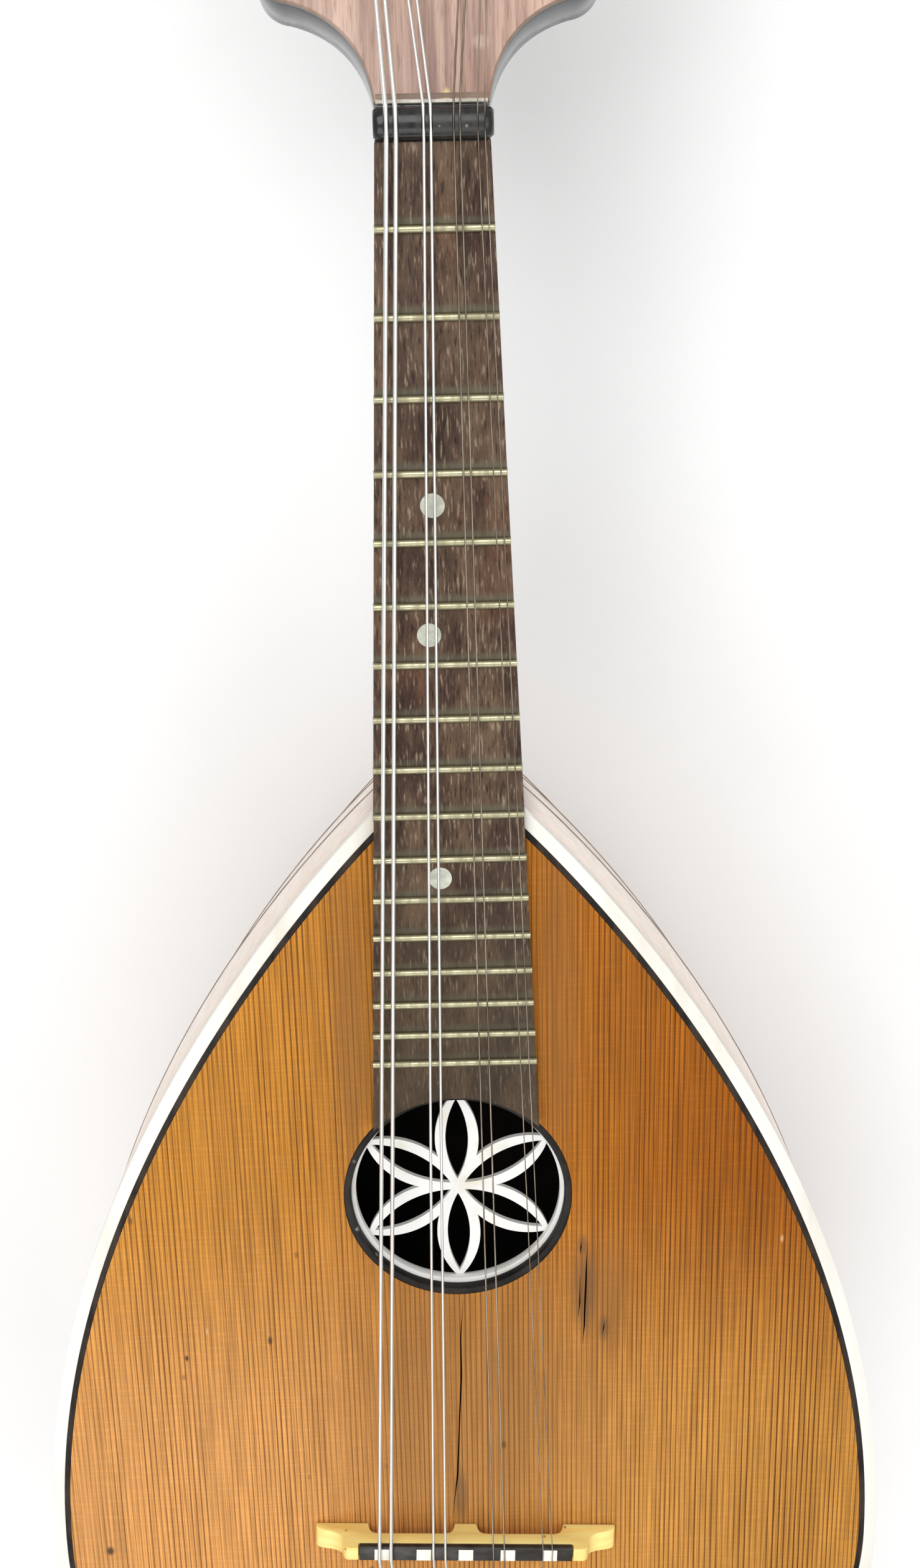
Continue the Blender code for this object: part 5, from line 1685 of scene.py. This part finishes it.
@dataclass
class Neck:
    """The neck with its heel, the leaning headstock and the veneer on its face."""

    datum: Datum
    shape: BodyShape
    neck: NeckShape
    tuners: Tuners
    depth: float = 0.0165
    thickening: float = 0.0020
    heel_length: float = 0.0400
    heel_curve: float = 1.6
    heel_rim: float = 0.0029
    sides: int = 48
    head_thickness: float = 0.014
    veneer_top: float = 0.0018
    edge_line: float = 0.00035
    strip: float = 0.0011
    hole_clearance: float = 0.0005

    def shaft(self) -> Mesh:
        """The neck and its heel."""
        back, joint = self.datum.nut_back, self.shape.joint
        deepens = joint - self.heel_length
        sunk = self.shape.section(0.0110, 0.0090, self.sides, False)
        rings = [[self.datum.at(x, -back - 0.0110, z - 0.0050) for x, z in sunk]]
        steps = 28
        for i in range(steps + 1):
            along = -back + (joint - 0.00015 + back) * i / steps
            share = max(0.0, (along - deepens) / self.heel_length)
            depth = self.depth + self.thickening * max(along, 0.0) / deepens
            depth += (self.shape.heel_depth + self.heel_rim - depth) * share**self.heel_curve
            ring = self.shape.section(self.neck.half_width(along), depth, self.sides, False)
            rings.append([self.datum.at(x, along, z) for x, z in ring])
        return lofted(rings)

    def slab(self, start: float, smaller: float, low: float, high: float, edge: float) -> Mesh:
        """A plate in the headstock's shape with a hole for each post, in place.

        Args:
            start: how far up it begins.
            smaller: how far its edge is moved inwards.
            low: its underside.
            high: its top.
            edge: how far its edges are rounded.

        Returns:
            The mesh.
        """
        outline = self.neck.head_outline(start)
        if smaller:
            outline = inset(outline, smaller)
        holes = [circle(x, y, self.tuners.post_radius + self.hole_clearance, 32)
                 for _, _, x, y in self.tuners.places()]
        return moved(plate([outline, *holes], low, high, edge), self.datum.head)

    def build(self) -> None:
        """Place the neck and the headstock."""
        put("neck_shaft", self.shaft(), Finish.NECK, nodes=["neck"])
        head = self.slab(0.0, 0.0, -self.head_thickness, 0.0003, 0.0008)
        put("head", head, Finish.NECK, nodes=["neck"])
        line = self.slab(0.0006, 0.0, 0.0003, self.veneer_top - 0.0002, 0.0002)
        put("head_line", line, Finish.SEAM)
        face = self.slab(0.0006, self.edge_line, 0.0009, self.veneer_top, 0.0002)
        put("head_face", face, HeadVeneer(self.datum), nodes=["head_veneer"])
        width = self.neck.nut_half_width - 0.0004
        bars = (
            ("nut_back_strip", 0.0002, self.strip, 0.00012, Finish.PALE_STRIP, "ivoroid"),
            # A dark band behind the nut: partly dirt, partly painted shadow.
            ("nut_back_stain", self.strip, self.strip + 0.0013, 0.00006, Finish.SEAM,
             "black_edge"),
        )
        for name, low, high, rise, finish, slot in bars:
            bar = block((-width, low + 0.0002, 0.0006), (width, high, self.veneer_top + rise),
                        0.0001)
            put(name, moved(bar, self.datum.head), finish)


@dataclass
class Tuners:
    """Two rows of four worm-geared tuners under plates on the back of the headstock."""

    datum: Datum
    copies: ScatterTree
    wires: WireTree
    strings: Strings
    per_side: int = 4
    pitch: float = 0.0245
    first: float = 0.0400
    across: float = 0.0170
    post_radius: float = 0.0030
    post_height: float = 0.0150
    string_hole: float = 0.0008
    coil_low: float = 0.0050
    coil_high: float = 0.0086
    teeth: int = 14
    thread_pitch: float = 0.0020
    worm_radius: float = 0.0021
    addendum: float = 0.00045
    worm_core: float = 0.00145
    worm_half: float = 0.0030
    gear_thickness: float = 0.0025
    tooth_width: float = 0.00070
    root_drop: float = 0.00075
    thread_width: float = 0.00065
    plate_top: float = -0.0143
    plate_bottom: float = -0.0155
    plate_half_width: float = 0.0095
    plate_margin: float = 0.0115
    plate_corner: float = 0.0015
    lug_offset: float = 0.0046
    lug_half: float = 0.0026
    lug_thickness: float = 0.0012
    shaft_radius: float = 0.0013
    head_half_width: float = 0.0370
    standoff: float = 0.0068
    button: tuple[float, float, float] = (0.0072, 0.0088, 0.0034)

    @property
    def level(self) -> float:
        """The height of the worm shafts in the headstock's axes."""
        return self.plate_bottom - self.worm_radius - self.addendum - 0.0003

    @property
    def gear_radius(self) -> float:
        """The gear's pitch radius."""
        return self.teeth * self.thread_pitch / (2 * pi)

    @property
    def gear_distance(self) -> float:
        """From a post's axis to its worm's."""
        return self.gear_radius + self.worm_radius

    def places(self) -> list[tuple[Side, str, float, float]]:
        """Side, name, across and distance up the headstock of every tuner."""
        return [
            (side, f"{side.label}_{i + 1}", side.value * self.across, self.first + self.pitch * i)
            for side in Side for i in range(self.per_side)
        ]

    def gear(self) -> Mesh:
        """A toothed wheel whose teeth lean to suit the worm's thread."""
        lean = atan(self.thread_pitch / (2 * pi * self.worm_radius))
        tip, root = self.gear_radius + self.addendum, self.gear_radius - self.root_drop
        rings = []
        for side in (-1, 1):
            height = side * self.gear_thickness / 2
            twist = height * tan(lean) / self.gear_radius
            ring = []
            for tooth in range(self.teeth):
                middle = pi / 2 + 2 * pi * (tooth + 0.5) / self.teeth + twist
                for radius, width, way in (
                    (root, self.tooth_width * 1.35, -1), (tip, self.tooth_width * 0.7, -1),
                    (tip, self.tooth_width * 0.7, 1), (root, self.tooth_width * 1.35, 1),
                ):
                    turn = middle + way * width / 2 / radius
                    ring.append(Vector((
                        radius * cos(turn), radius * sin(turn), height + self.level
                    )))
            rings.append(ring)
        return lofted(rings)

    def post(self) -> Mesh:
        """A string post with a hole for the string and a screw at its foot."""
        radius, top, foot = self.post_radius, self.post_height, self.level
        end = foot - self.gear_thickness / 2 - 0.0010
        profile = [
            (0.0, top), (radius * 0.7, top - 0.0001), (radius * 0.93, top - 0.0005),
            (radius, top - 0.0011), (radius, self.coil_high + 0.0012),
            (radius * 0.92, self.coil_high + 0.0004), (radius * 0.92, self.coil_low),
            (radius, self.coil_low - 0.0006), (radius, foot), (radius * 0.75, foot),
            (radius * 0.75, end + 0.0002), (radius * 0.68, end), (0.0, end - 0.0003),
        ]
        post = turned(profile, 36)
        bore = rod(self.string_hole, 0.006, 16)
        bore.transform(Matrix.Translation((0.0, 0.0, self.coil_high + 0.0022)) @ ONTO_X)
        slot = block((-0.004, -0.0003, end - 0.001), (0.004, 0.0003, end + 0.0002))
        post = combined(post, bore, "DIFFERENCE")
        post = combined(post, slot, "DIFFERENCE")
        return joined([post, rounded(self.gear(), 0.0001, 1)])

    def thread(self) -> Mesh:
        """The worm's right-handed thread along X."""
        per_turn = 24
        steps = round(per_turn * (2 * self.worm_half - self.thread_width) / self.thread_pitch)
        inner, tip = self.worm_core - 0.0003, self.worm_radius + self.addendum
        rings = []
        for i in range(steps + 1):
            turn = pi + 2 * pi * (i - steps / 2) / per_turn
            middle = self.thread_pitch * (turn - pi) / (2 * pi)
            rings.append([
                Vector((middle + way * width / 2, radius * cos(turn),
                        radius * sin(turn)))
                for radius, width, way in (
                    (inner, self.thread_width * 1.4, -1), (tip, self.thread_width * 0.65, -1),
                    (tip, self.thread_width * 0.65, 1), (inner, self.thread_width * 1.4, 1),
                )
            ])
        return lofted(rings)

    def shaft(self) -> tuple[Mesh, Mesh]:
        """The worm shaft, and the flat oval button on its end."""
        middle = self.head_half_width - self.across + self.standoff + self.button[0]
        near = middle - self.button[0] * 0.6
        far = self.lug_offset + self.lug_thickness / 2 + 0.0006
        worm = self.worm_half + 0.0004
        shaft = turned([
            (0.0, near), (self.shaft_radius, near), (self.shaft_radius, worm),
            (self.worm_core, worm), (self.worm_core, -worm), (self.shaft_radius, -worm),
            (self.shaft_radius, -far + 0.0002), (self.shaft_radius * 0.8, -far), (0.0, -far),
        ], 24)
        shaft.transform(ONTO_X)
        collar = turned([
            (0.0, 0.0022), (0.0019, 0.0022), (0.0024, 0.0012), (0.0021, 0.0), (0.0, 0.0),
        ], 24)
        collar.transform(Matrix.Translation((middle - self.button[0] - 0.0014, 0.0, 0.0)) @ ONTO_X)
        shaft = joined([shaft, self.thread(), collar])
        bm = bmesh.new()
        place = Matrix.Translation((middle, 0.0, 0.0)) @ Matrix.Diagonal((*self.button, 1.0))
        turn = ONTO_X
        bmesh.ops.create_uvsphere(bm, u_segments=40, v_segments=24, radius=1.0, matrix=place @ turn)
        return shaft, from_bmesh(bm)

    def base(self, side: Side) -> Mesh:
        """A plate with its lugs.

        Args:
            side: the side it is on.

        Returns:
            The mesh.
        """
        x = side.value * self.across
        low = self.first - self.plate_margin
        high = self.first + self.pitch * (self.per_side - 1) + self.plate_margin + 0.0020
        half = self.plate_half_width
        cut = self.plate_corner
        corners = (
            (-half, low + cut), (cut - half, low), (half - cut, low), (half, low + cut),
            (half, high - cut), (half - cut, high), (cut - half, high), (-half, high - cut),
        )
        outline = [Vector((x + across, up)) for across, up in corners]
        ups = [self.first + self.pitch * i for i in range(self.per_side)]
        holes = [circle(x, up, self.post_radius + 0.0003, 32) for up in ups]
        pieces = [plate([outline, *holes], self.plate_bottom, self.plate_top, 0.0002)]
        for up in ups:
            y = up + self.gear_distance
            for offset in (-self.lug_offset, self.lug_offset):
                thick = self.lug_thickness / 2
                lug = block(
                    (x + offset - thick, y - self.lug_half, self.level - self.lug_half),
                    (x + offset + thick, y + self.lug_half, self.plate_bottom + 0.0004), 0.0002,
                )
                bore = rod(self.shaft_radius + 0.0002, 0.002, 24)

                bore.transform(Matrix.Translation((x + offset, y, self.level)) @ ONTO_X)
                pieces.append(combined(lug, bore, "DIFFERENCE"))
        return joined(pieces)

    def screws(self) -> Mesh:
        """A round-headed screw at each end of the plates and between the tuners."""
        head = turned([
            (0.0, -0.0010), (0.0008, -0.0009), (0.0014, -0.0005), (0.0016, 0.0), (0.0, 0.0),
        ], 24)
        slot = block((-0.003, -0.0002, -0.002), (0.003, 0.0002, -0.0006))
        head = combined(head, slot, "DIFFERENCE")
        places = []
        for side in Side:
            for i in range(self.per_side + 1):
                up = self.first + self.pitch * (i - 0.5) + 0.0028
                up = min(max(up, self.first - self.plate_margin + 0.0032),
                         self.first + self.pitch * (self.per_side - 1) + 0.0112)
                x = side.value * (self.across - 0.0066)
                places.append(Vector((x, up, self.plate_bottom)))
        return self.copies.row("screws", head, places, Finish.NICKEL)

    def build(self) -> None:
        """Place the plates, the posts with their coils of string, and the buttons."""
        head = self.datum.head
        for side in Side:
            put(f"tuner_base_{side.label}", moved(self.base(side), head), Finish.NICKEL,
                nodes=[f"tuner_plate_{side.label}"])
        put("tuner_screws", moved(self.screws(), head), Finish.NICKEL)
        post = self.post()
        shaft, button = self.shaft()
        radii = [radius for _, radius in self.strings.paths()]
        coils = {i: self.wires.wire("coil", [helix(
            self.post_radius + radii[i], self.coil_low + radii[i], self.coil_high - radii[i],
            min(3.5, (self.coil_high - self.coil_low) / (2.1 * radii[i]) - 0.6),
        )], radii[i] * 0.98, 0.0005, Finish.WOUND) for i in range(len(radii))}
        for n, (side, name, across, up) in enumerate(self.places()):
            string = n if side is Side.LEFT else 3 * self.per_side - 1 - n
            spot = head @ Matrix.Translation((across, up, 0.0))
            body = f"tuner_{name}_post"
            put(f"post_{name}", moved(post, spot), Finish.NICKEL, body, [body])
            finish = Finish.WOUND if side is Side.LEFT else Finish.PLAIN
            put(f"coil_{name}", moved(coils[string], spot), finish, body,
                sharp=None)
            spot = head @ Matrix.Translation((across, up + self.gear_distance, self.level))
            if side is Side.LEFT:
                spot = spot @ Matrix.Rotation(pi, 4, "Y")
            body = f"tuner_{name}_button"
            put(f"shaft_{name}", moved(shaft, spot), Finish.NICKEL, body, [body])
            put(f"button_{name}", moved(button, spot), Finish.BUTTON,
                body, [body])


# ---- strings, bridge and tail ----
@dataclass
class Strings:
    """Eight strings in four pairs: four wound ones and four plain ones."""

    datum: Datum
    wires: WireTree
    count: int = 8
    wound: int = 4
    gap: float = 0.002
    winding: float = 0.00026
    ridge: float = 0.05
    loop_turns: int = 7
    found: list[tuple[Outline, float]] = field(default_factory=list)

    def paths(self) -> list[tuple[Outline, float]]:
        """Each string's line and radius, read from the frame, from the tail to the post."""
        if self.found:
            return self.found
        for number in range(1, self.count + 1):
            corners = [v.co.copy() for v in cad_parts[f"string_{number}"].data.vertices]
            corners.sort(key=lambda p: p.y)
            groups: list[Outline] = [[corners[0]]]
            for corner in corners[1:]:
                if corner.y - groups[-1][-1].y > self.gap:
                    groups.append([])
                groups[-1].append(corner)
            line = [sum(group, Vector()) / len(group) for group in groups]
            radius = max((p - line[0]).length for p in groups[0])
            self.found.append((line, radius))
        return self.found

    def loop(self, start: Vector, ahead: Vector, radius: float) -> list[Outline]:
        """The eye around a hook and the wrap on the string after it.

        Args:
            start: the string's first point.
            ahead: its next point.
            radius: its radius.

        Returns:
            The lines of the two wires.
        """
        along = (ahead - start).normalized()
        side = Vector((1.0, 0.0, 0.0))
        up = side.cross(along).normalized()
        hook = start - along * 0.0013
        eye = [
            hook + side * 0.0015 * sin(2 * pi * i / 24)
            + along * 0.0014 * cos(2 * pi * i / 24)
            for i in range(25)
        ]
        coil = radius * 1.75
        wrap = []
        per_turn = 12
        for i in range(self.loop_turns * per_turn + 1):
            turn = 2 * pi * i / per_turn
            reach = 0.0002 + 2.1 * radius * i / per_turn
            wrap.append(start + along * reach + coil * (side * cos(turn) + up * sin(turn)))
        return [eye, wrap]

    def build(self) -> None:
        """Place the strings and their loops."""
        for number, (line, radius) in enumerate(self.paths(), start=1):
            wound = number <= self.wound
            finish = Finish.WOUND if wound else Finish.PLAIN
            name = f"course_string_{number}"
            mesh = self.wires.wire(
                name, [line], radius, self.winding if wound else 0.004, finish,
                ridge=self.ridge if wound else 0.0, sides=8,
            )
            put(name, mesh, finish, nodes=[f"string_{number}"], sharp=None)
            ends = self.wires.wire(
                f"loop_{number}", self.loop(line[0], line[1], radius), min(radius, 0.0003) * 0.8,
                0.0003, finish, sides=6,
            )
            put(f"loop_{number}", ends, finish, sharp=None)


@dataclass
class Bridge:
    """The footed maple bridge with a black strip and pale inserts along its top."""

    datum: Datum
    copies: ScatterTree
    front: float = 0.3574
    centre: float = -0.0002
    skew: float = radians(2.2)
    half_length: float = 0.0406
    shoulder: float = 0.0326
    base_depth: float = 0.0070
    top_depth: float = 0.0040
    height: float = 0.0086
    low: float = 0.0003
    front_lean: float = 0.35
    arch_height: float = 0.0034
    arch_inner: float = 0.0030
    arch_outer: float = 0.0265
    strip_half_length: float = 0.0287
    strip_height: float = 0.0017
    insert_pitch: float = 0.0113
    insert_width: float = 0.0042
    string_gap: float = 0.00012

    def depth(self, height: float) -> tuple[float, float]:
        """Front and back at a height, measured along the body."""
        lean = (self.base_depth - self.top_depth) * height / self.height
        front = self.front + lean * self.front_lean
        return front, front + self.base_depth - lean

    def turn(self) -> Matrix:
        """The bridge's axes, which stand slightly askew about its middle."""
        middle = self.datum.at(self.centre, self.front + self.base_depth / 2, self.low)
        return Matrix.Translation(middle) @ Matrix.Rotation(-self.skew, 4, "Z")

    def at(self, across: float, along: float, height: float) -> Vector:
        """The place of a point on the bridge."""
        middle = self.front + self.base_depth / 2
        return self.turn() @ Vector((across, middle - along, height))

    def profile(self) -> list[tuple[float, float]]:
        """The front view: feet, arches, wings and the seat of the strip."""
        near, far = self.arch_inner, self.arch_outer
        rise, tip, shoulder = self.arch_height, self.half_length, self.shoulder
        notch = self.height - self.strip_height - 0.0002
        seat = self.strip_half_length + 0.0002
        right = bezier(((near, 0.0), (near + 0.0004, rise * 0.8), (near + 0.0008, rise),
                        (near + 0.0034, rise)), 8)
        right += bezier(((far - 0.0034, rise), (far - 0.0008, rise), (far - 0.0004, rise * 0.8),
                         (far, 0.0)), 8)
        right += bezier(((tip, 0.0), (tip + 0.0003, 0.0008), (tip, 0.0016),
                         (tip - 0.0012, 0.0022)), 5)
        right += bezier(((tip - 0.0026, 0.0027), (tip - 0.0048, 0.0030),
                         (shoulder + 0.0012, 0.0040), (shoulder + 0.0007, 0.0056)), 8)
        right += bezier(((shoulder + 0.0005, 0.0066), (shoulder + 0.0002, 0.0080),
                         (shoulder - 0.0004, self.height), (shoulder - 0.0012, self.height)), 6)
        right += [Vector((seat, self.height)), Vector((seat, notch))]
        right = [(p.x, p.y) for p in right]
        return right + [(-x, z) for x, z in reversed(right)]

    def wood(self) -> Mesh:
        """The bridge without its strip."""
        profile = self.profile()
        mesh = lofted([[self.at(x, self.depth(z)[side], z) for x, z in profile] for side in (0, 1)])
        return rounded(mesh, 0.00035)

    def strip(self) -> Mesh:
        """The black strip, with rounded long edges."""
        low, top = self.height - self.strip_height, self.height - self.string_gap
        front, back = self.depth(low)
        soft = 0.0006
        outline = [(front, low), (back, low)]
        for i in range(10):
            turn = pi / 2 * (i % 5) / 4 + pi / 2 * (i // 5)
            middle = front + soft if i > 4 else back - soft
            outline.append((middle + soft * cos(turn), top - soft + soft * sin(turn)))
        half = self.strip_half_length
        return rounded(lofted([
            [self.at(x, y, z) for y, z in outline]
            for x in (-half, half)
        ]), 0.0002)

    def build(self) -> None:
        """Place the bridge, its strip and the inserts."""
        put("bridge_body", self.wood(), Finish.BRIDGE, "bridge",
            ["bridge"], sharp=30)
        put("bridge_strip", self.strip(), Finish.SADDLE, "bridge",
            ["bridge_saddle"], sharp=50)
        front, back = self.depth(self.height - self.strip_height)
        deep = (back - front) * 0.82
        half = self.insert_width / 2
        pattern = block((-half, -deep / 2, -0.0010), (half, deep / 2, 0.00004), 0.00025)
        middle = self.front + self.base_depth / 2 - back + deep / 2 + 0.0002
        places = [
            Vector((step * self.insert_pitch, middle, self.height - self.string_gap))
            for step in range(-2, 3)
        ]
        mesh = moved(self.copies.row("bridge_inserts", pattern, places, Finish.INSERT), self.turn())
        put("bridge_inserts", mesh, Finish.INSERT, "bridge")


@dataclass
class Tail:
    """The bent metal tailpiece with its hooks, and the strap pin."""

    datum: Datum
    shape: BodyShape
    wires: WireTree
    copies: ScatterTree
    length: float = 0.0183
    half_width: float = 0.0240
    thickness: float = 0.0012
    low: float = 0.0003
    corner: float = 0.0040
    flap_half_width: float = 0.0130
    flap_drop: float = 0.0130
    hook_from_tail: float = 0.0133
    hook_radius: float = 0.0009
    hook_height: float = 0.0060
    spread: tuple[float, ...] = (-0.0165, -0.0120, -0.0065, -0.0020, 0.0040, 0.0085, 0.0140, 0.0185)
    pin_drop: float = 0.0215
    pin_length: float = 0.0110

    def metal(self) -> Mesh:
        """The plate, its bent flap and its hooks."""
        tail, half, flap = self.shape.tail, self.half_width, self.flap_half_width
        front, back = tail - self.length, tail + self.low + self.thickness
        right = [Vector((half - self.corner, front))]
        for i in range(1, 9):
            turn = pi / 2 * i / 8
            right.append(Vector((half - self.corner + self.corner * sin(turn),
                                 front + self.corner - self.corner * cos(turn))))
        right += [Vector((half - 0.0020, tail - 0.0060)), Vector((flap, back))]
        face, top = self.datum.face, self.low + self.thickness
        sheet = plate([self.datum.flat(mirrored(right))], face + self.low, face + top, 0.0003)
        bent = block(
            self.datum.at(-flap, back, -self.flap_drop),
            self.datum.at(flap, back - self.thickness, top - 0.0001), 0.0004,
        )
        hooks = []
        for across in self.spread:
            foot = self.datum.at(across, tail - self.hook_from_tail, self.low + 0.0004)
            tip = self.datum.at(across, tail - self.hook_from_tail + 0.0015, self.hook_height)
            lift = Vector((0.0, -0.0006, 0.0))
            hooks.append([foot, foot.lerp(tip, 0.5), tip, tip + lift * 2])
        pegs = self.wires.wire("hooks", hooks, self.hook_radius, 0.0006, Finish.NICKEL, sides=16)
        return joined([sheet, bent, pegs])

    def pin(self) -> Mesh:
        """The turned strap pin, along Z."""
        head, waist, top = 0.0060, 0.0036, self.pin_length
        mesh = turned([
            (0.0, top), (0.0030, top - 0.0001), (0.0048, top - 0.0005), (0.0058, top - 0.0014),
            (head, top - 0.0020), (0.0058, top - 0.0027), (0.0048, top - 0.0034),
            (waist, top - 0.0050), (waist, 0.0030), (0.0042, 0.0016), (0.0051, 0.0004),
            (0.0028, 0.0003), (0.0024, -0.0180), (0.0, -0.0180),
        ], 48)
        place = Matrix.Translation(self.datum.at(0.0, self.shape.tail, -self.pin_drop))
        mesh.transform(place @ Matrix.Rotation(pi / 2, 4, "X"))
        return mesh

    def build(self) -> None:
        """Place the tailpiece, its screws and the pin."""
        put("tail_metal", self.metal(), Finish.NICKEL, nodes=["tailpiece"])
        head = turned([
            (0.0, 0.0009), (0.0009, 0.0008), (0.0016, 0.0004), (0.0018, 0.0), (0.0, 0.0),
        ], 24)
        slot = block((-0.003, -0.0002, 0.0005), (0.003, 0.0002, 0.002))
        head = combined(head, slot, "DIFFERENCE")
        places = [
            self.datum.at(x, self.shape.tail - 0.0062, self.low + self.thickness)
            for x in (-0.0140, 0.0, 0.0140)
        ]
        screws = self.copies.row("tail_screws", head, places, Finish.NICKEL)
        put("tail_screws", screws, Finish.NICKEL)
        put("strap_pin", self.pin(), Finish.EBONY, nodes=["end_pin"])


# ---- room ----
@dataclass(frozen=True)
class Lamp:
    """A square soft light aimed at a point."""

    name: str
    place: tuple[float, float, float]
    aim: tuple[float, float, float]
    size: float
    power: float
    colour: Colour = (1.0, 1.0, 1.0)

    def build(self) -> None:
        """Place the light."""
        data = bpy.data.lights.new(self.name, "AREA")
        data.shape = "SQUARE"
        data.size = self.size
        data.energy = self.power
        data.color = self.colour
        obj = bpy.data.objects.new(self.name, data)
        bpy.context.scene.collection.objects.link(obj)
        aim = Vector(self.aim) - Vector(self.place)
        obj.matrix_world = (
            Matrix.Translation(self.place) @ aim.to_track_quat("-Z", "Y").to_matrix().to_4x4()
        )


@dataclass
class Studio:
    """The floor, the soft lights, the sky and the camera."""

    datum: Datum
    floor_half: float = 4.0
    sky: Colour = (1.0, 1.0, 1.0)
    sky_strength: float = 0.45
    lens: float = 41.504
    sensor: float = 36.0
    camera_across: float = 0.00065
    camera_back: float = 0.01097
    camera_height: float = 0.40549
    tilt: tuple[float, float, float] = (-0.306, -18.298, -1.256)
    lamps: tuple[Lamp, ...] = (
        Lamp("head_left", (-0.35, 0.75, 1.55), (0.0, -0.05, 0.1), 1.1, 14.0),
        Lamp("tail_left", (-0.45, -0.95, 1.45), (0.0, -0.1, 0.1), 1.1, 9.0),
        Lamp("right_fill", (0.90, 0.00, 1.45), (0.0, 0.0, 0.1), 1.4, 8.5),
    )

    def floor(self) -> None:
        """A wide pale floor under the bowl."""
        half = self.floor_half
        mesh = bpy.data.meshes.new("floor")
        mesh.from_pydata([
            (-half, -half, 0.0), (half, -half, 0.0), (half, half, 0.0), (-half, half, 0.0),
        ], [], [(0, 1, 2, 3)])
        mesh.materials.append(Finish.FLOOR.material)
        obj = bpy.data.objects.new("floor", mesh)
        bpy.context.scene.collection.objects.link(obj)

    def world(self) -> None:
        """An even pale sky, and plain display colours."""
        scene = bpy.context.scene
        scene.world = bpy.data.worlds.new("sky")
        scene.world.use_nodes = True
        background = scene.world.node_tree.nodes["Background"]
        background.inputs[0].default_value = (*self.sky, 1.0)
        background.inputs[1].default_value = self.sky_strength
        scene.view_settings.view_transform = "Standard"

    def camera(self) -> None:
        """Look down at the body from above the nut."""
        data = bpy.data.cameras.new("camera")
        data.lens = self.lens
        data.sensor_width = self.sensor
        obj = bpy.data.objects.new("camera", data)
        bpy.context.scene.collection.objects.link(obj)
        roll, pitch, yaw = (radians(angle) for angle in self.tilt)
        place = self.datum.at(self.camera_across, self.camera_back, self.camera_height)
        obj.matrix_world = (
            Matrix.Translation(place) @ Matrix.Rotation(roll, 4, "Y")
            @ Matrix.Rotation(pitch, 4, "X") @ Matrix.Rotation(yaw, 4, "Z")
        )
        bpy.context.scene.camera = obj

    def build(self) -> None:
        """Set the room."""
        self.floor()
        self.world()
        for lamp in self.lamps:
            lamp.build()
        self.camera()


def main() -> None:
    """Build the instrument and its room."""
    logging.basicConfig(level=logging.INFO, format="%(name)s: %(message)s")
    datum = Datum.from_frame()
    shape = BodyShape.from_frame(datum)
    neck = NeckShape()
    hole = SoundHole.from_frame(datum)
    wires, copies = WireTree(), ScatterTree()
    strings = Strings(datum, wires)
    tuners = Tuners(datum, copies, wires, strings)
    for part in (
        Bowl(datum, shape, wires), Soundboard(datum, shape, hole), Rosette(datum, hole),
        Fingerboard(datum, neck, hole, copies, strings), Neck(datum, shape, neck, tuners),
        tuners, strings, Bridge(datum, copies), Tail(datum, shape, wires, copies), Studio(datum),
    ):
        LOG.info("building the %s", type(part).__name__.lower())
        part.build()


if __name__ == "__main__":
    main()
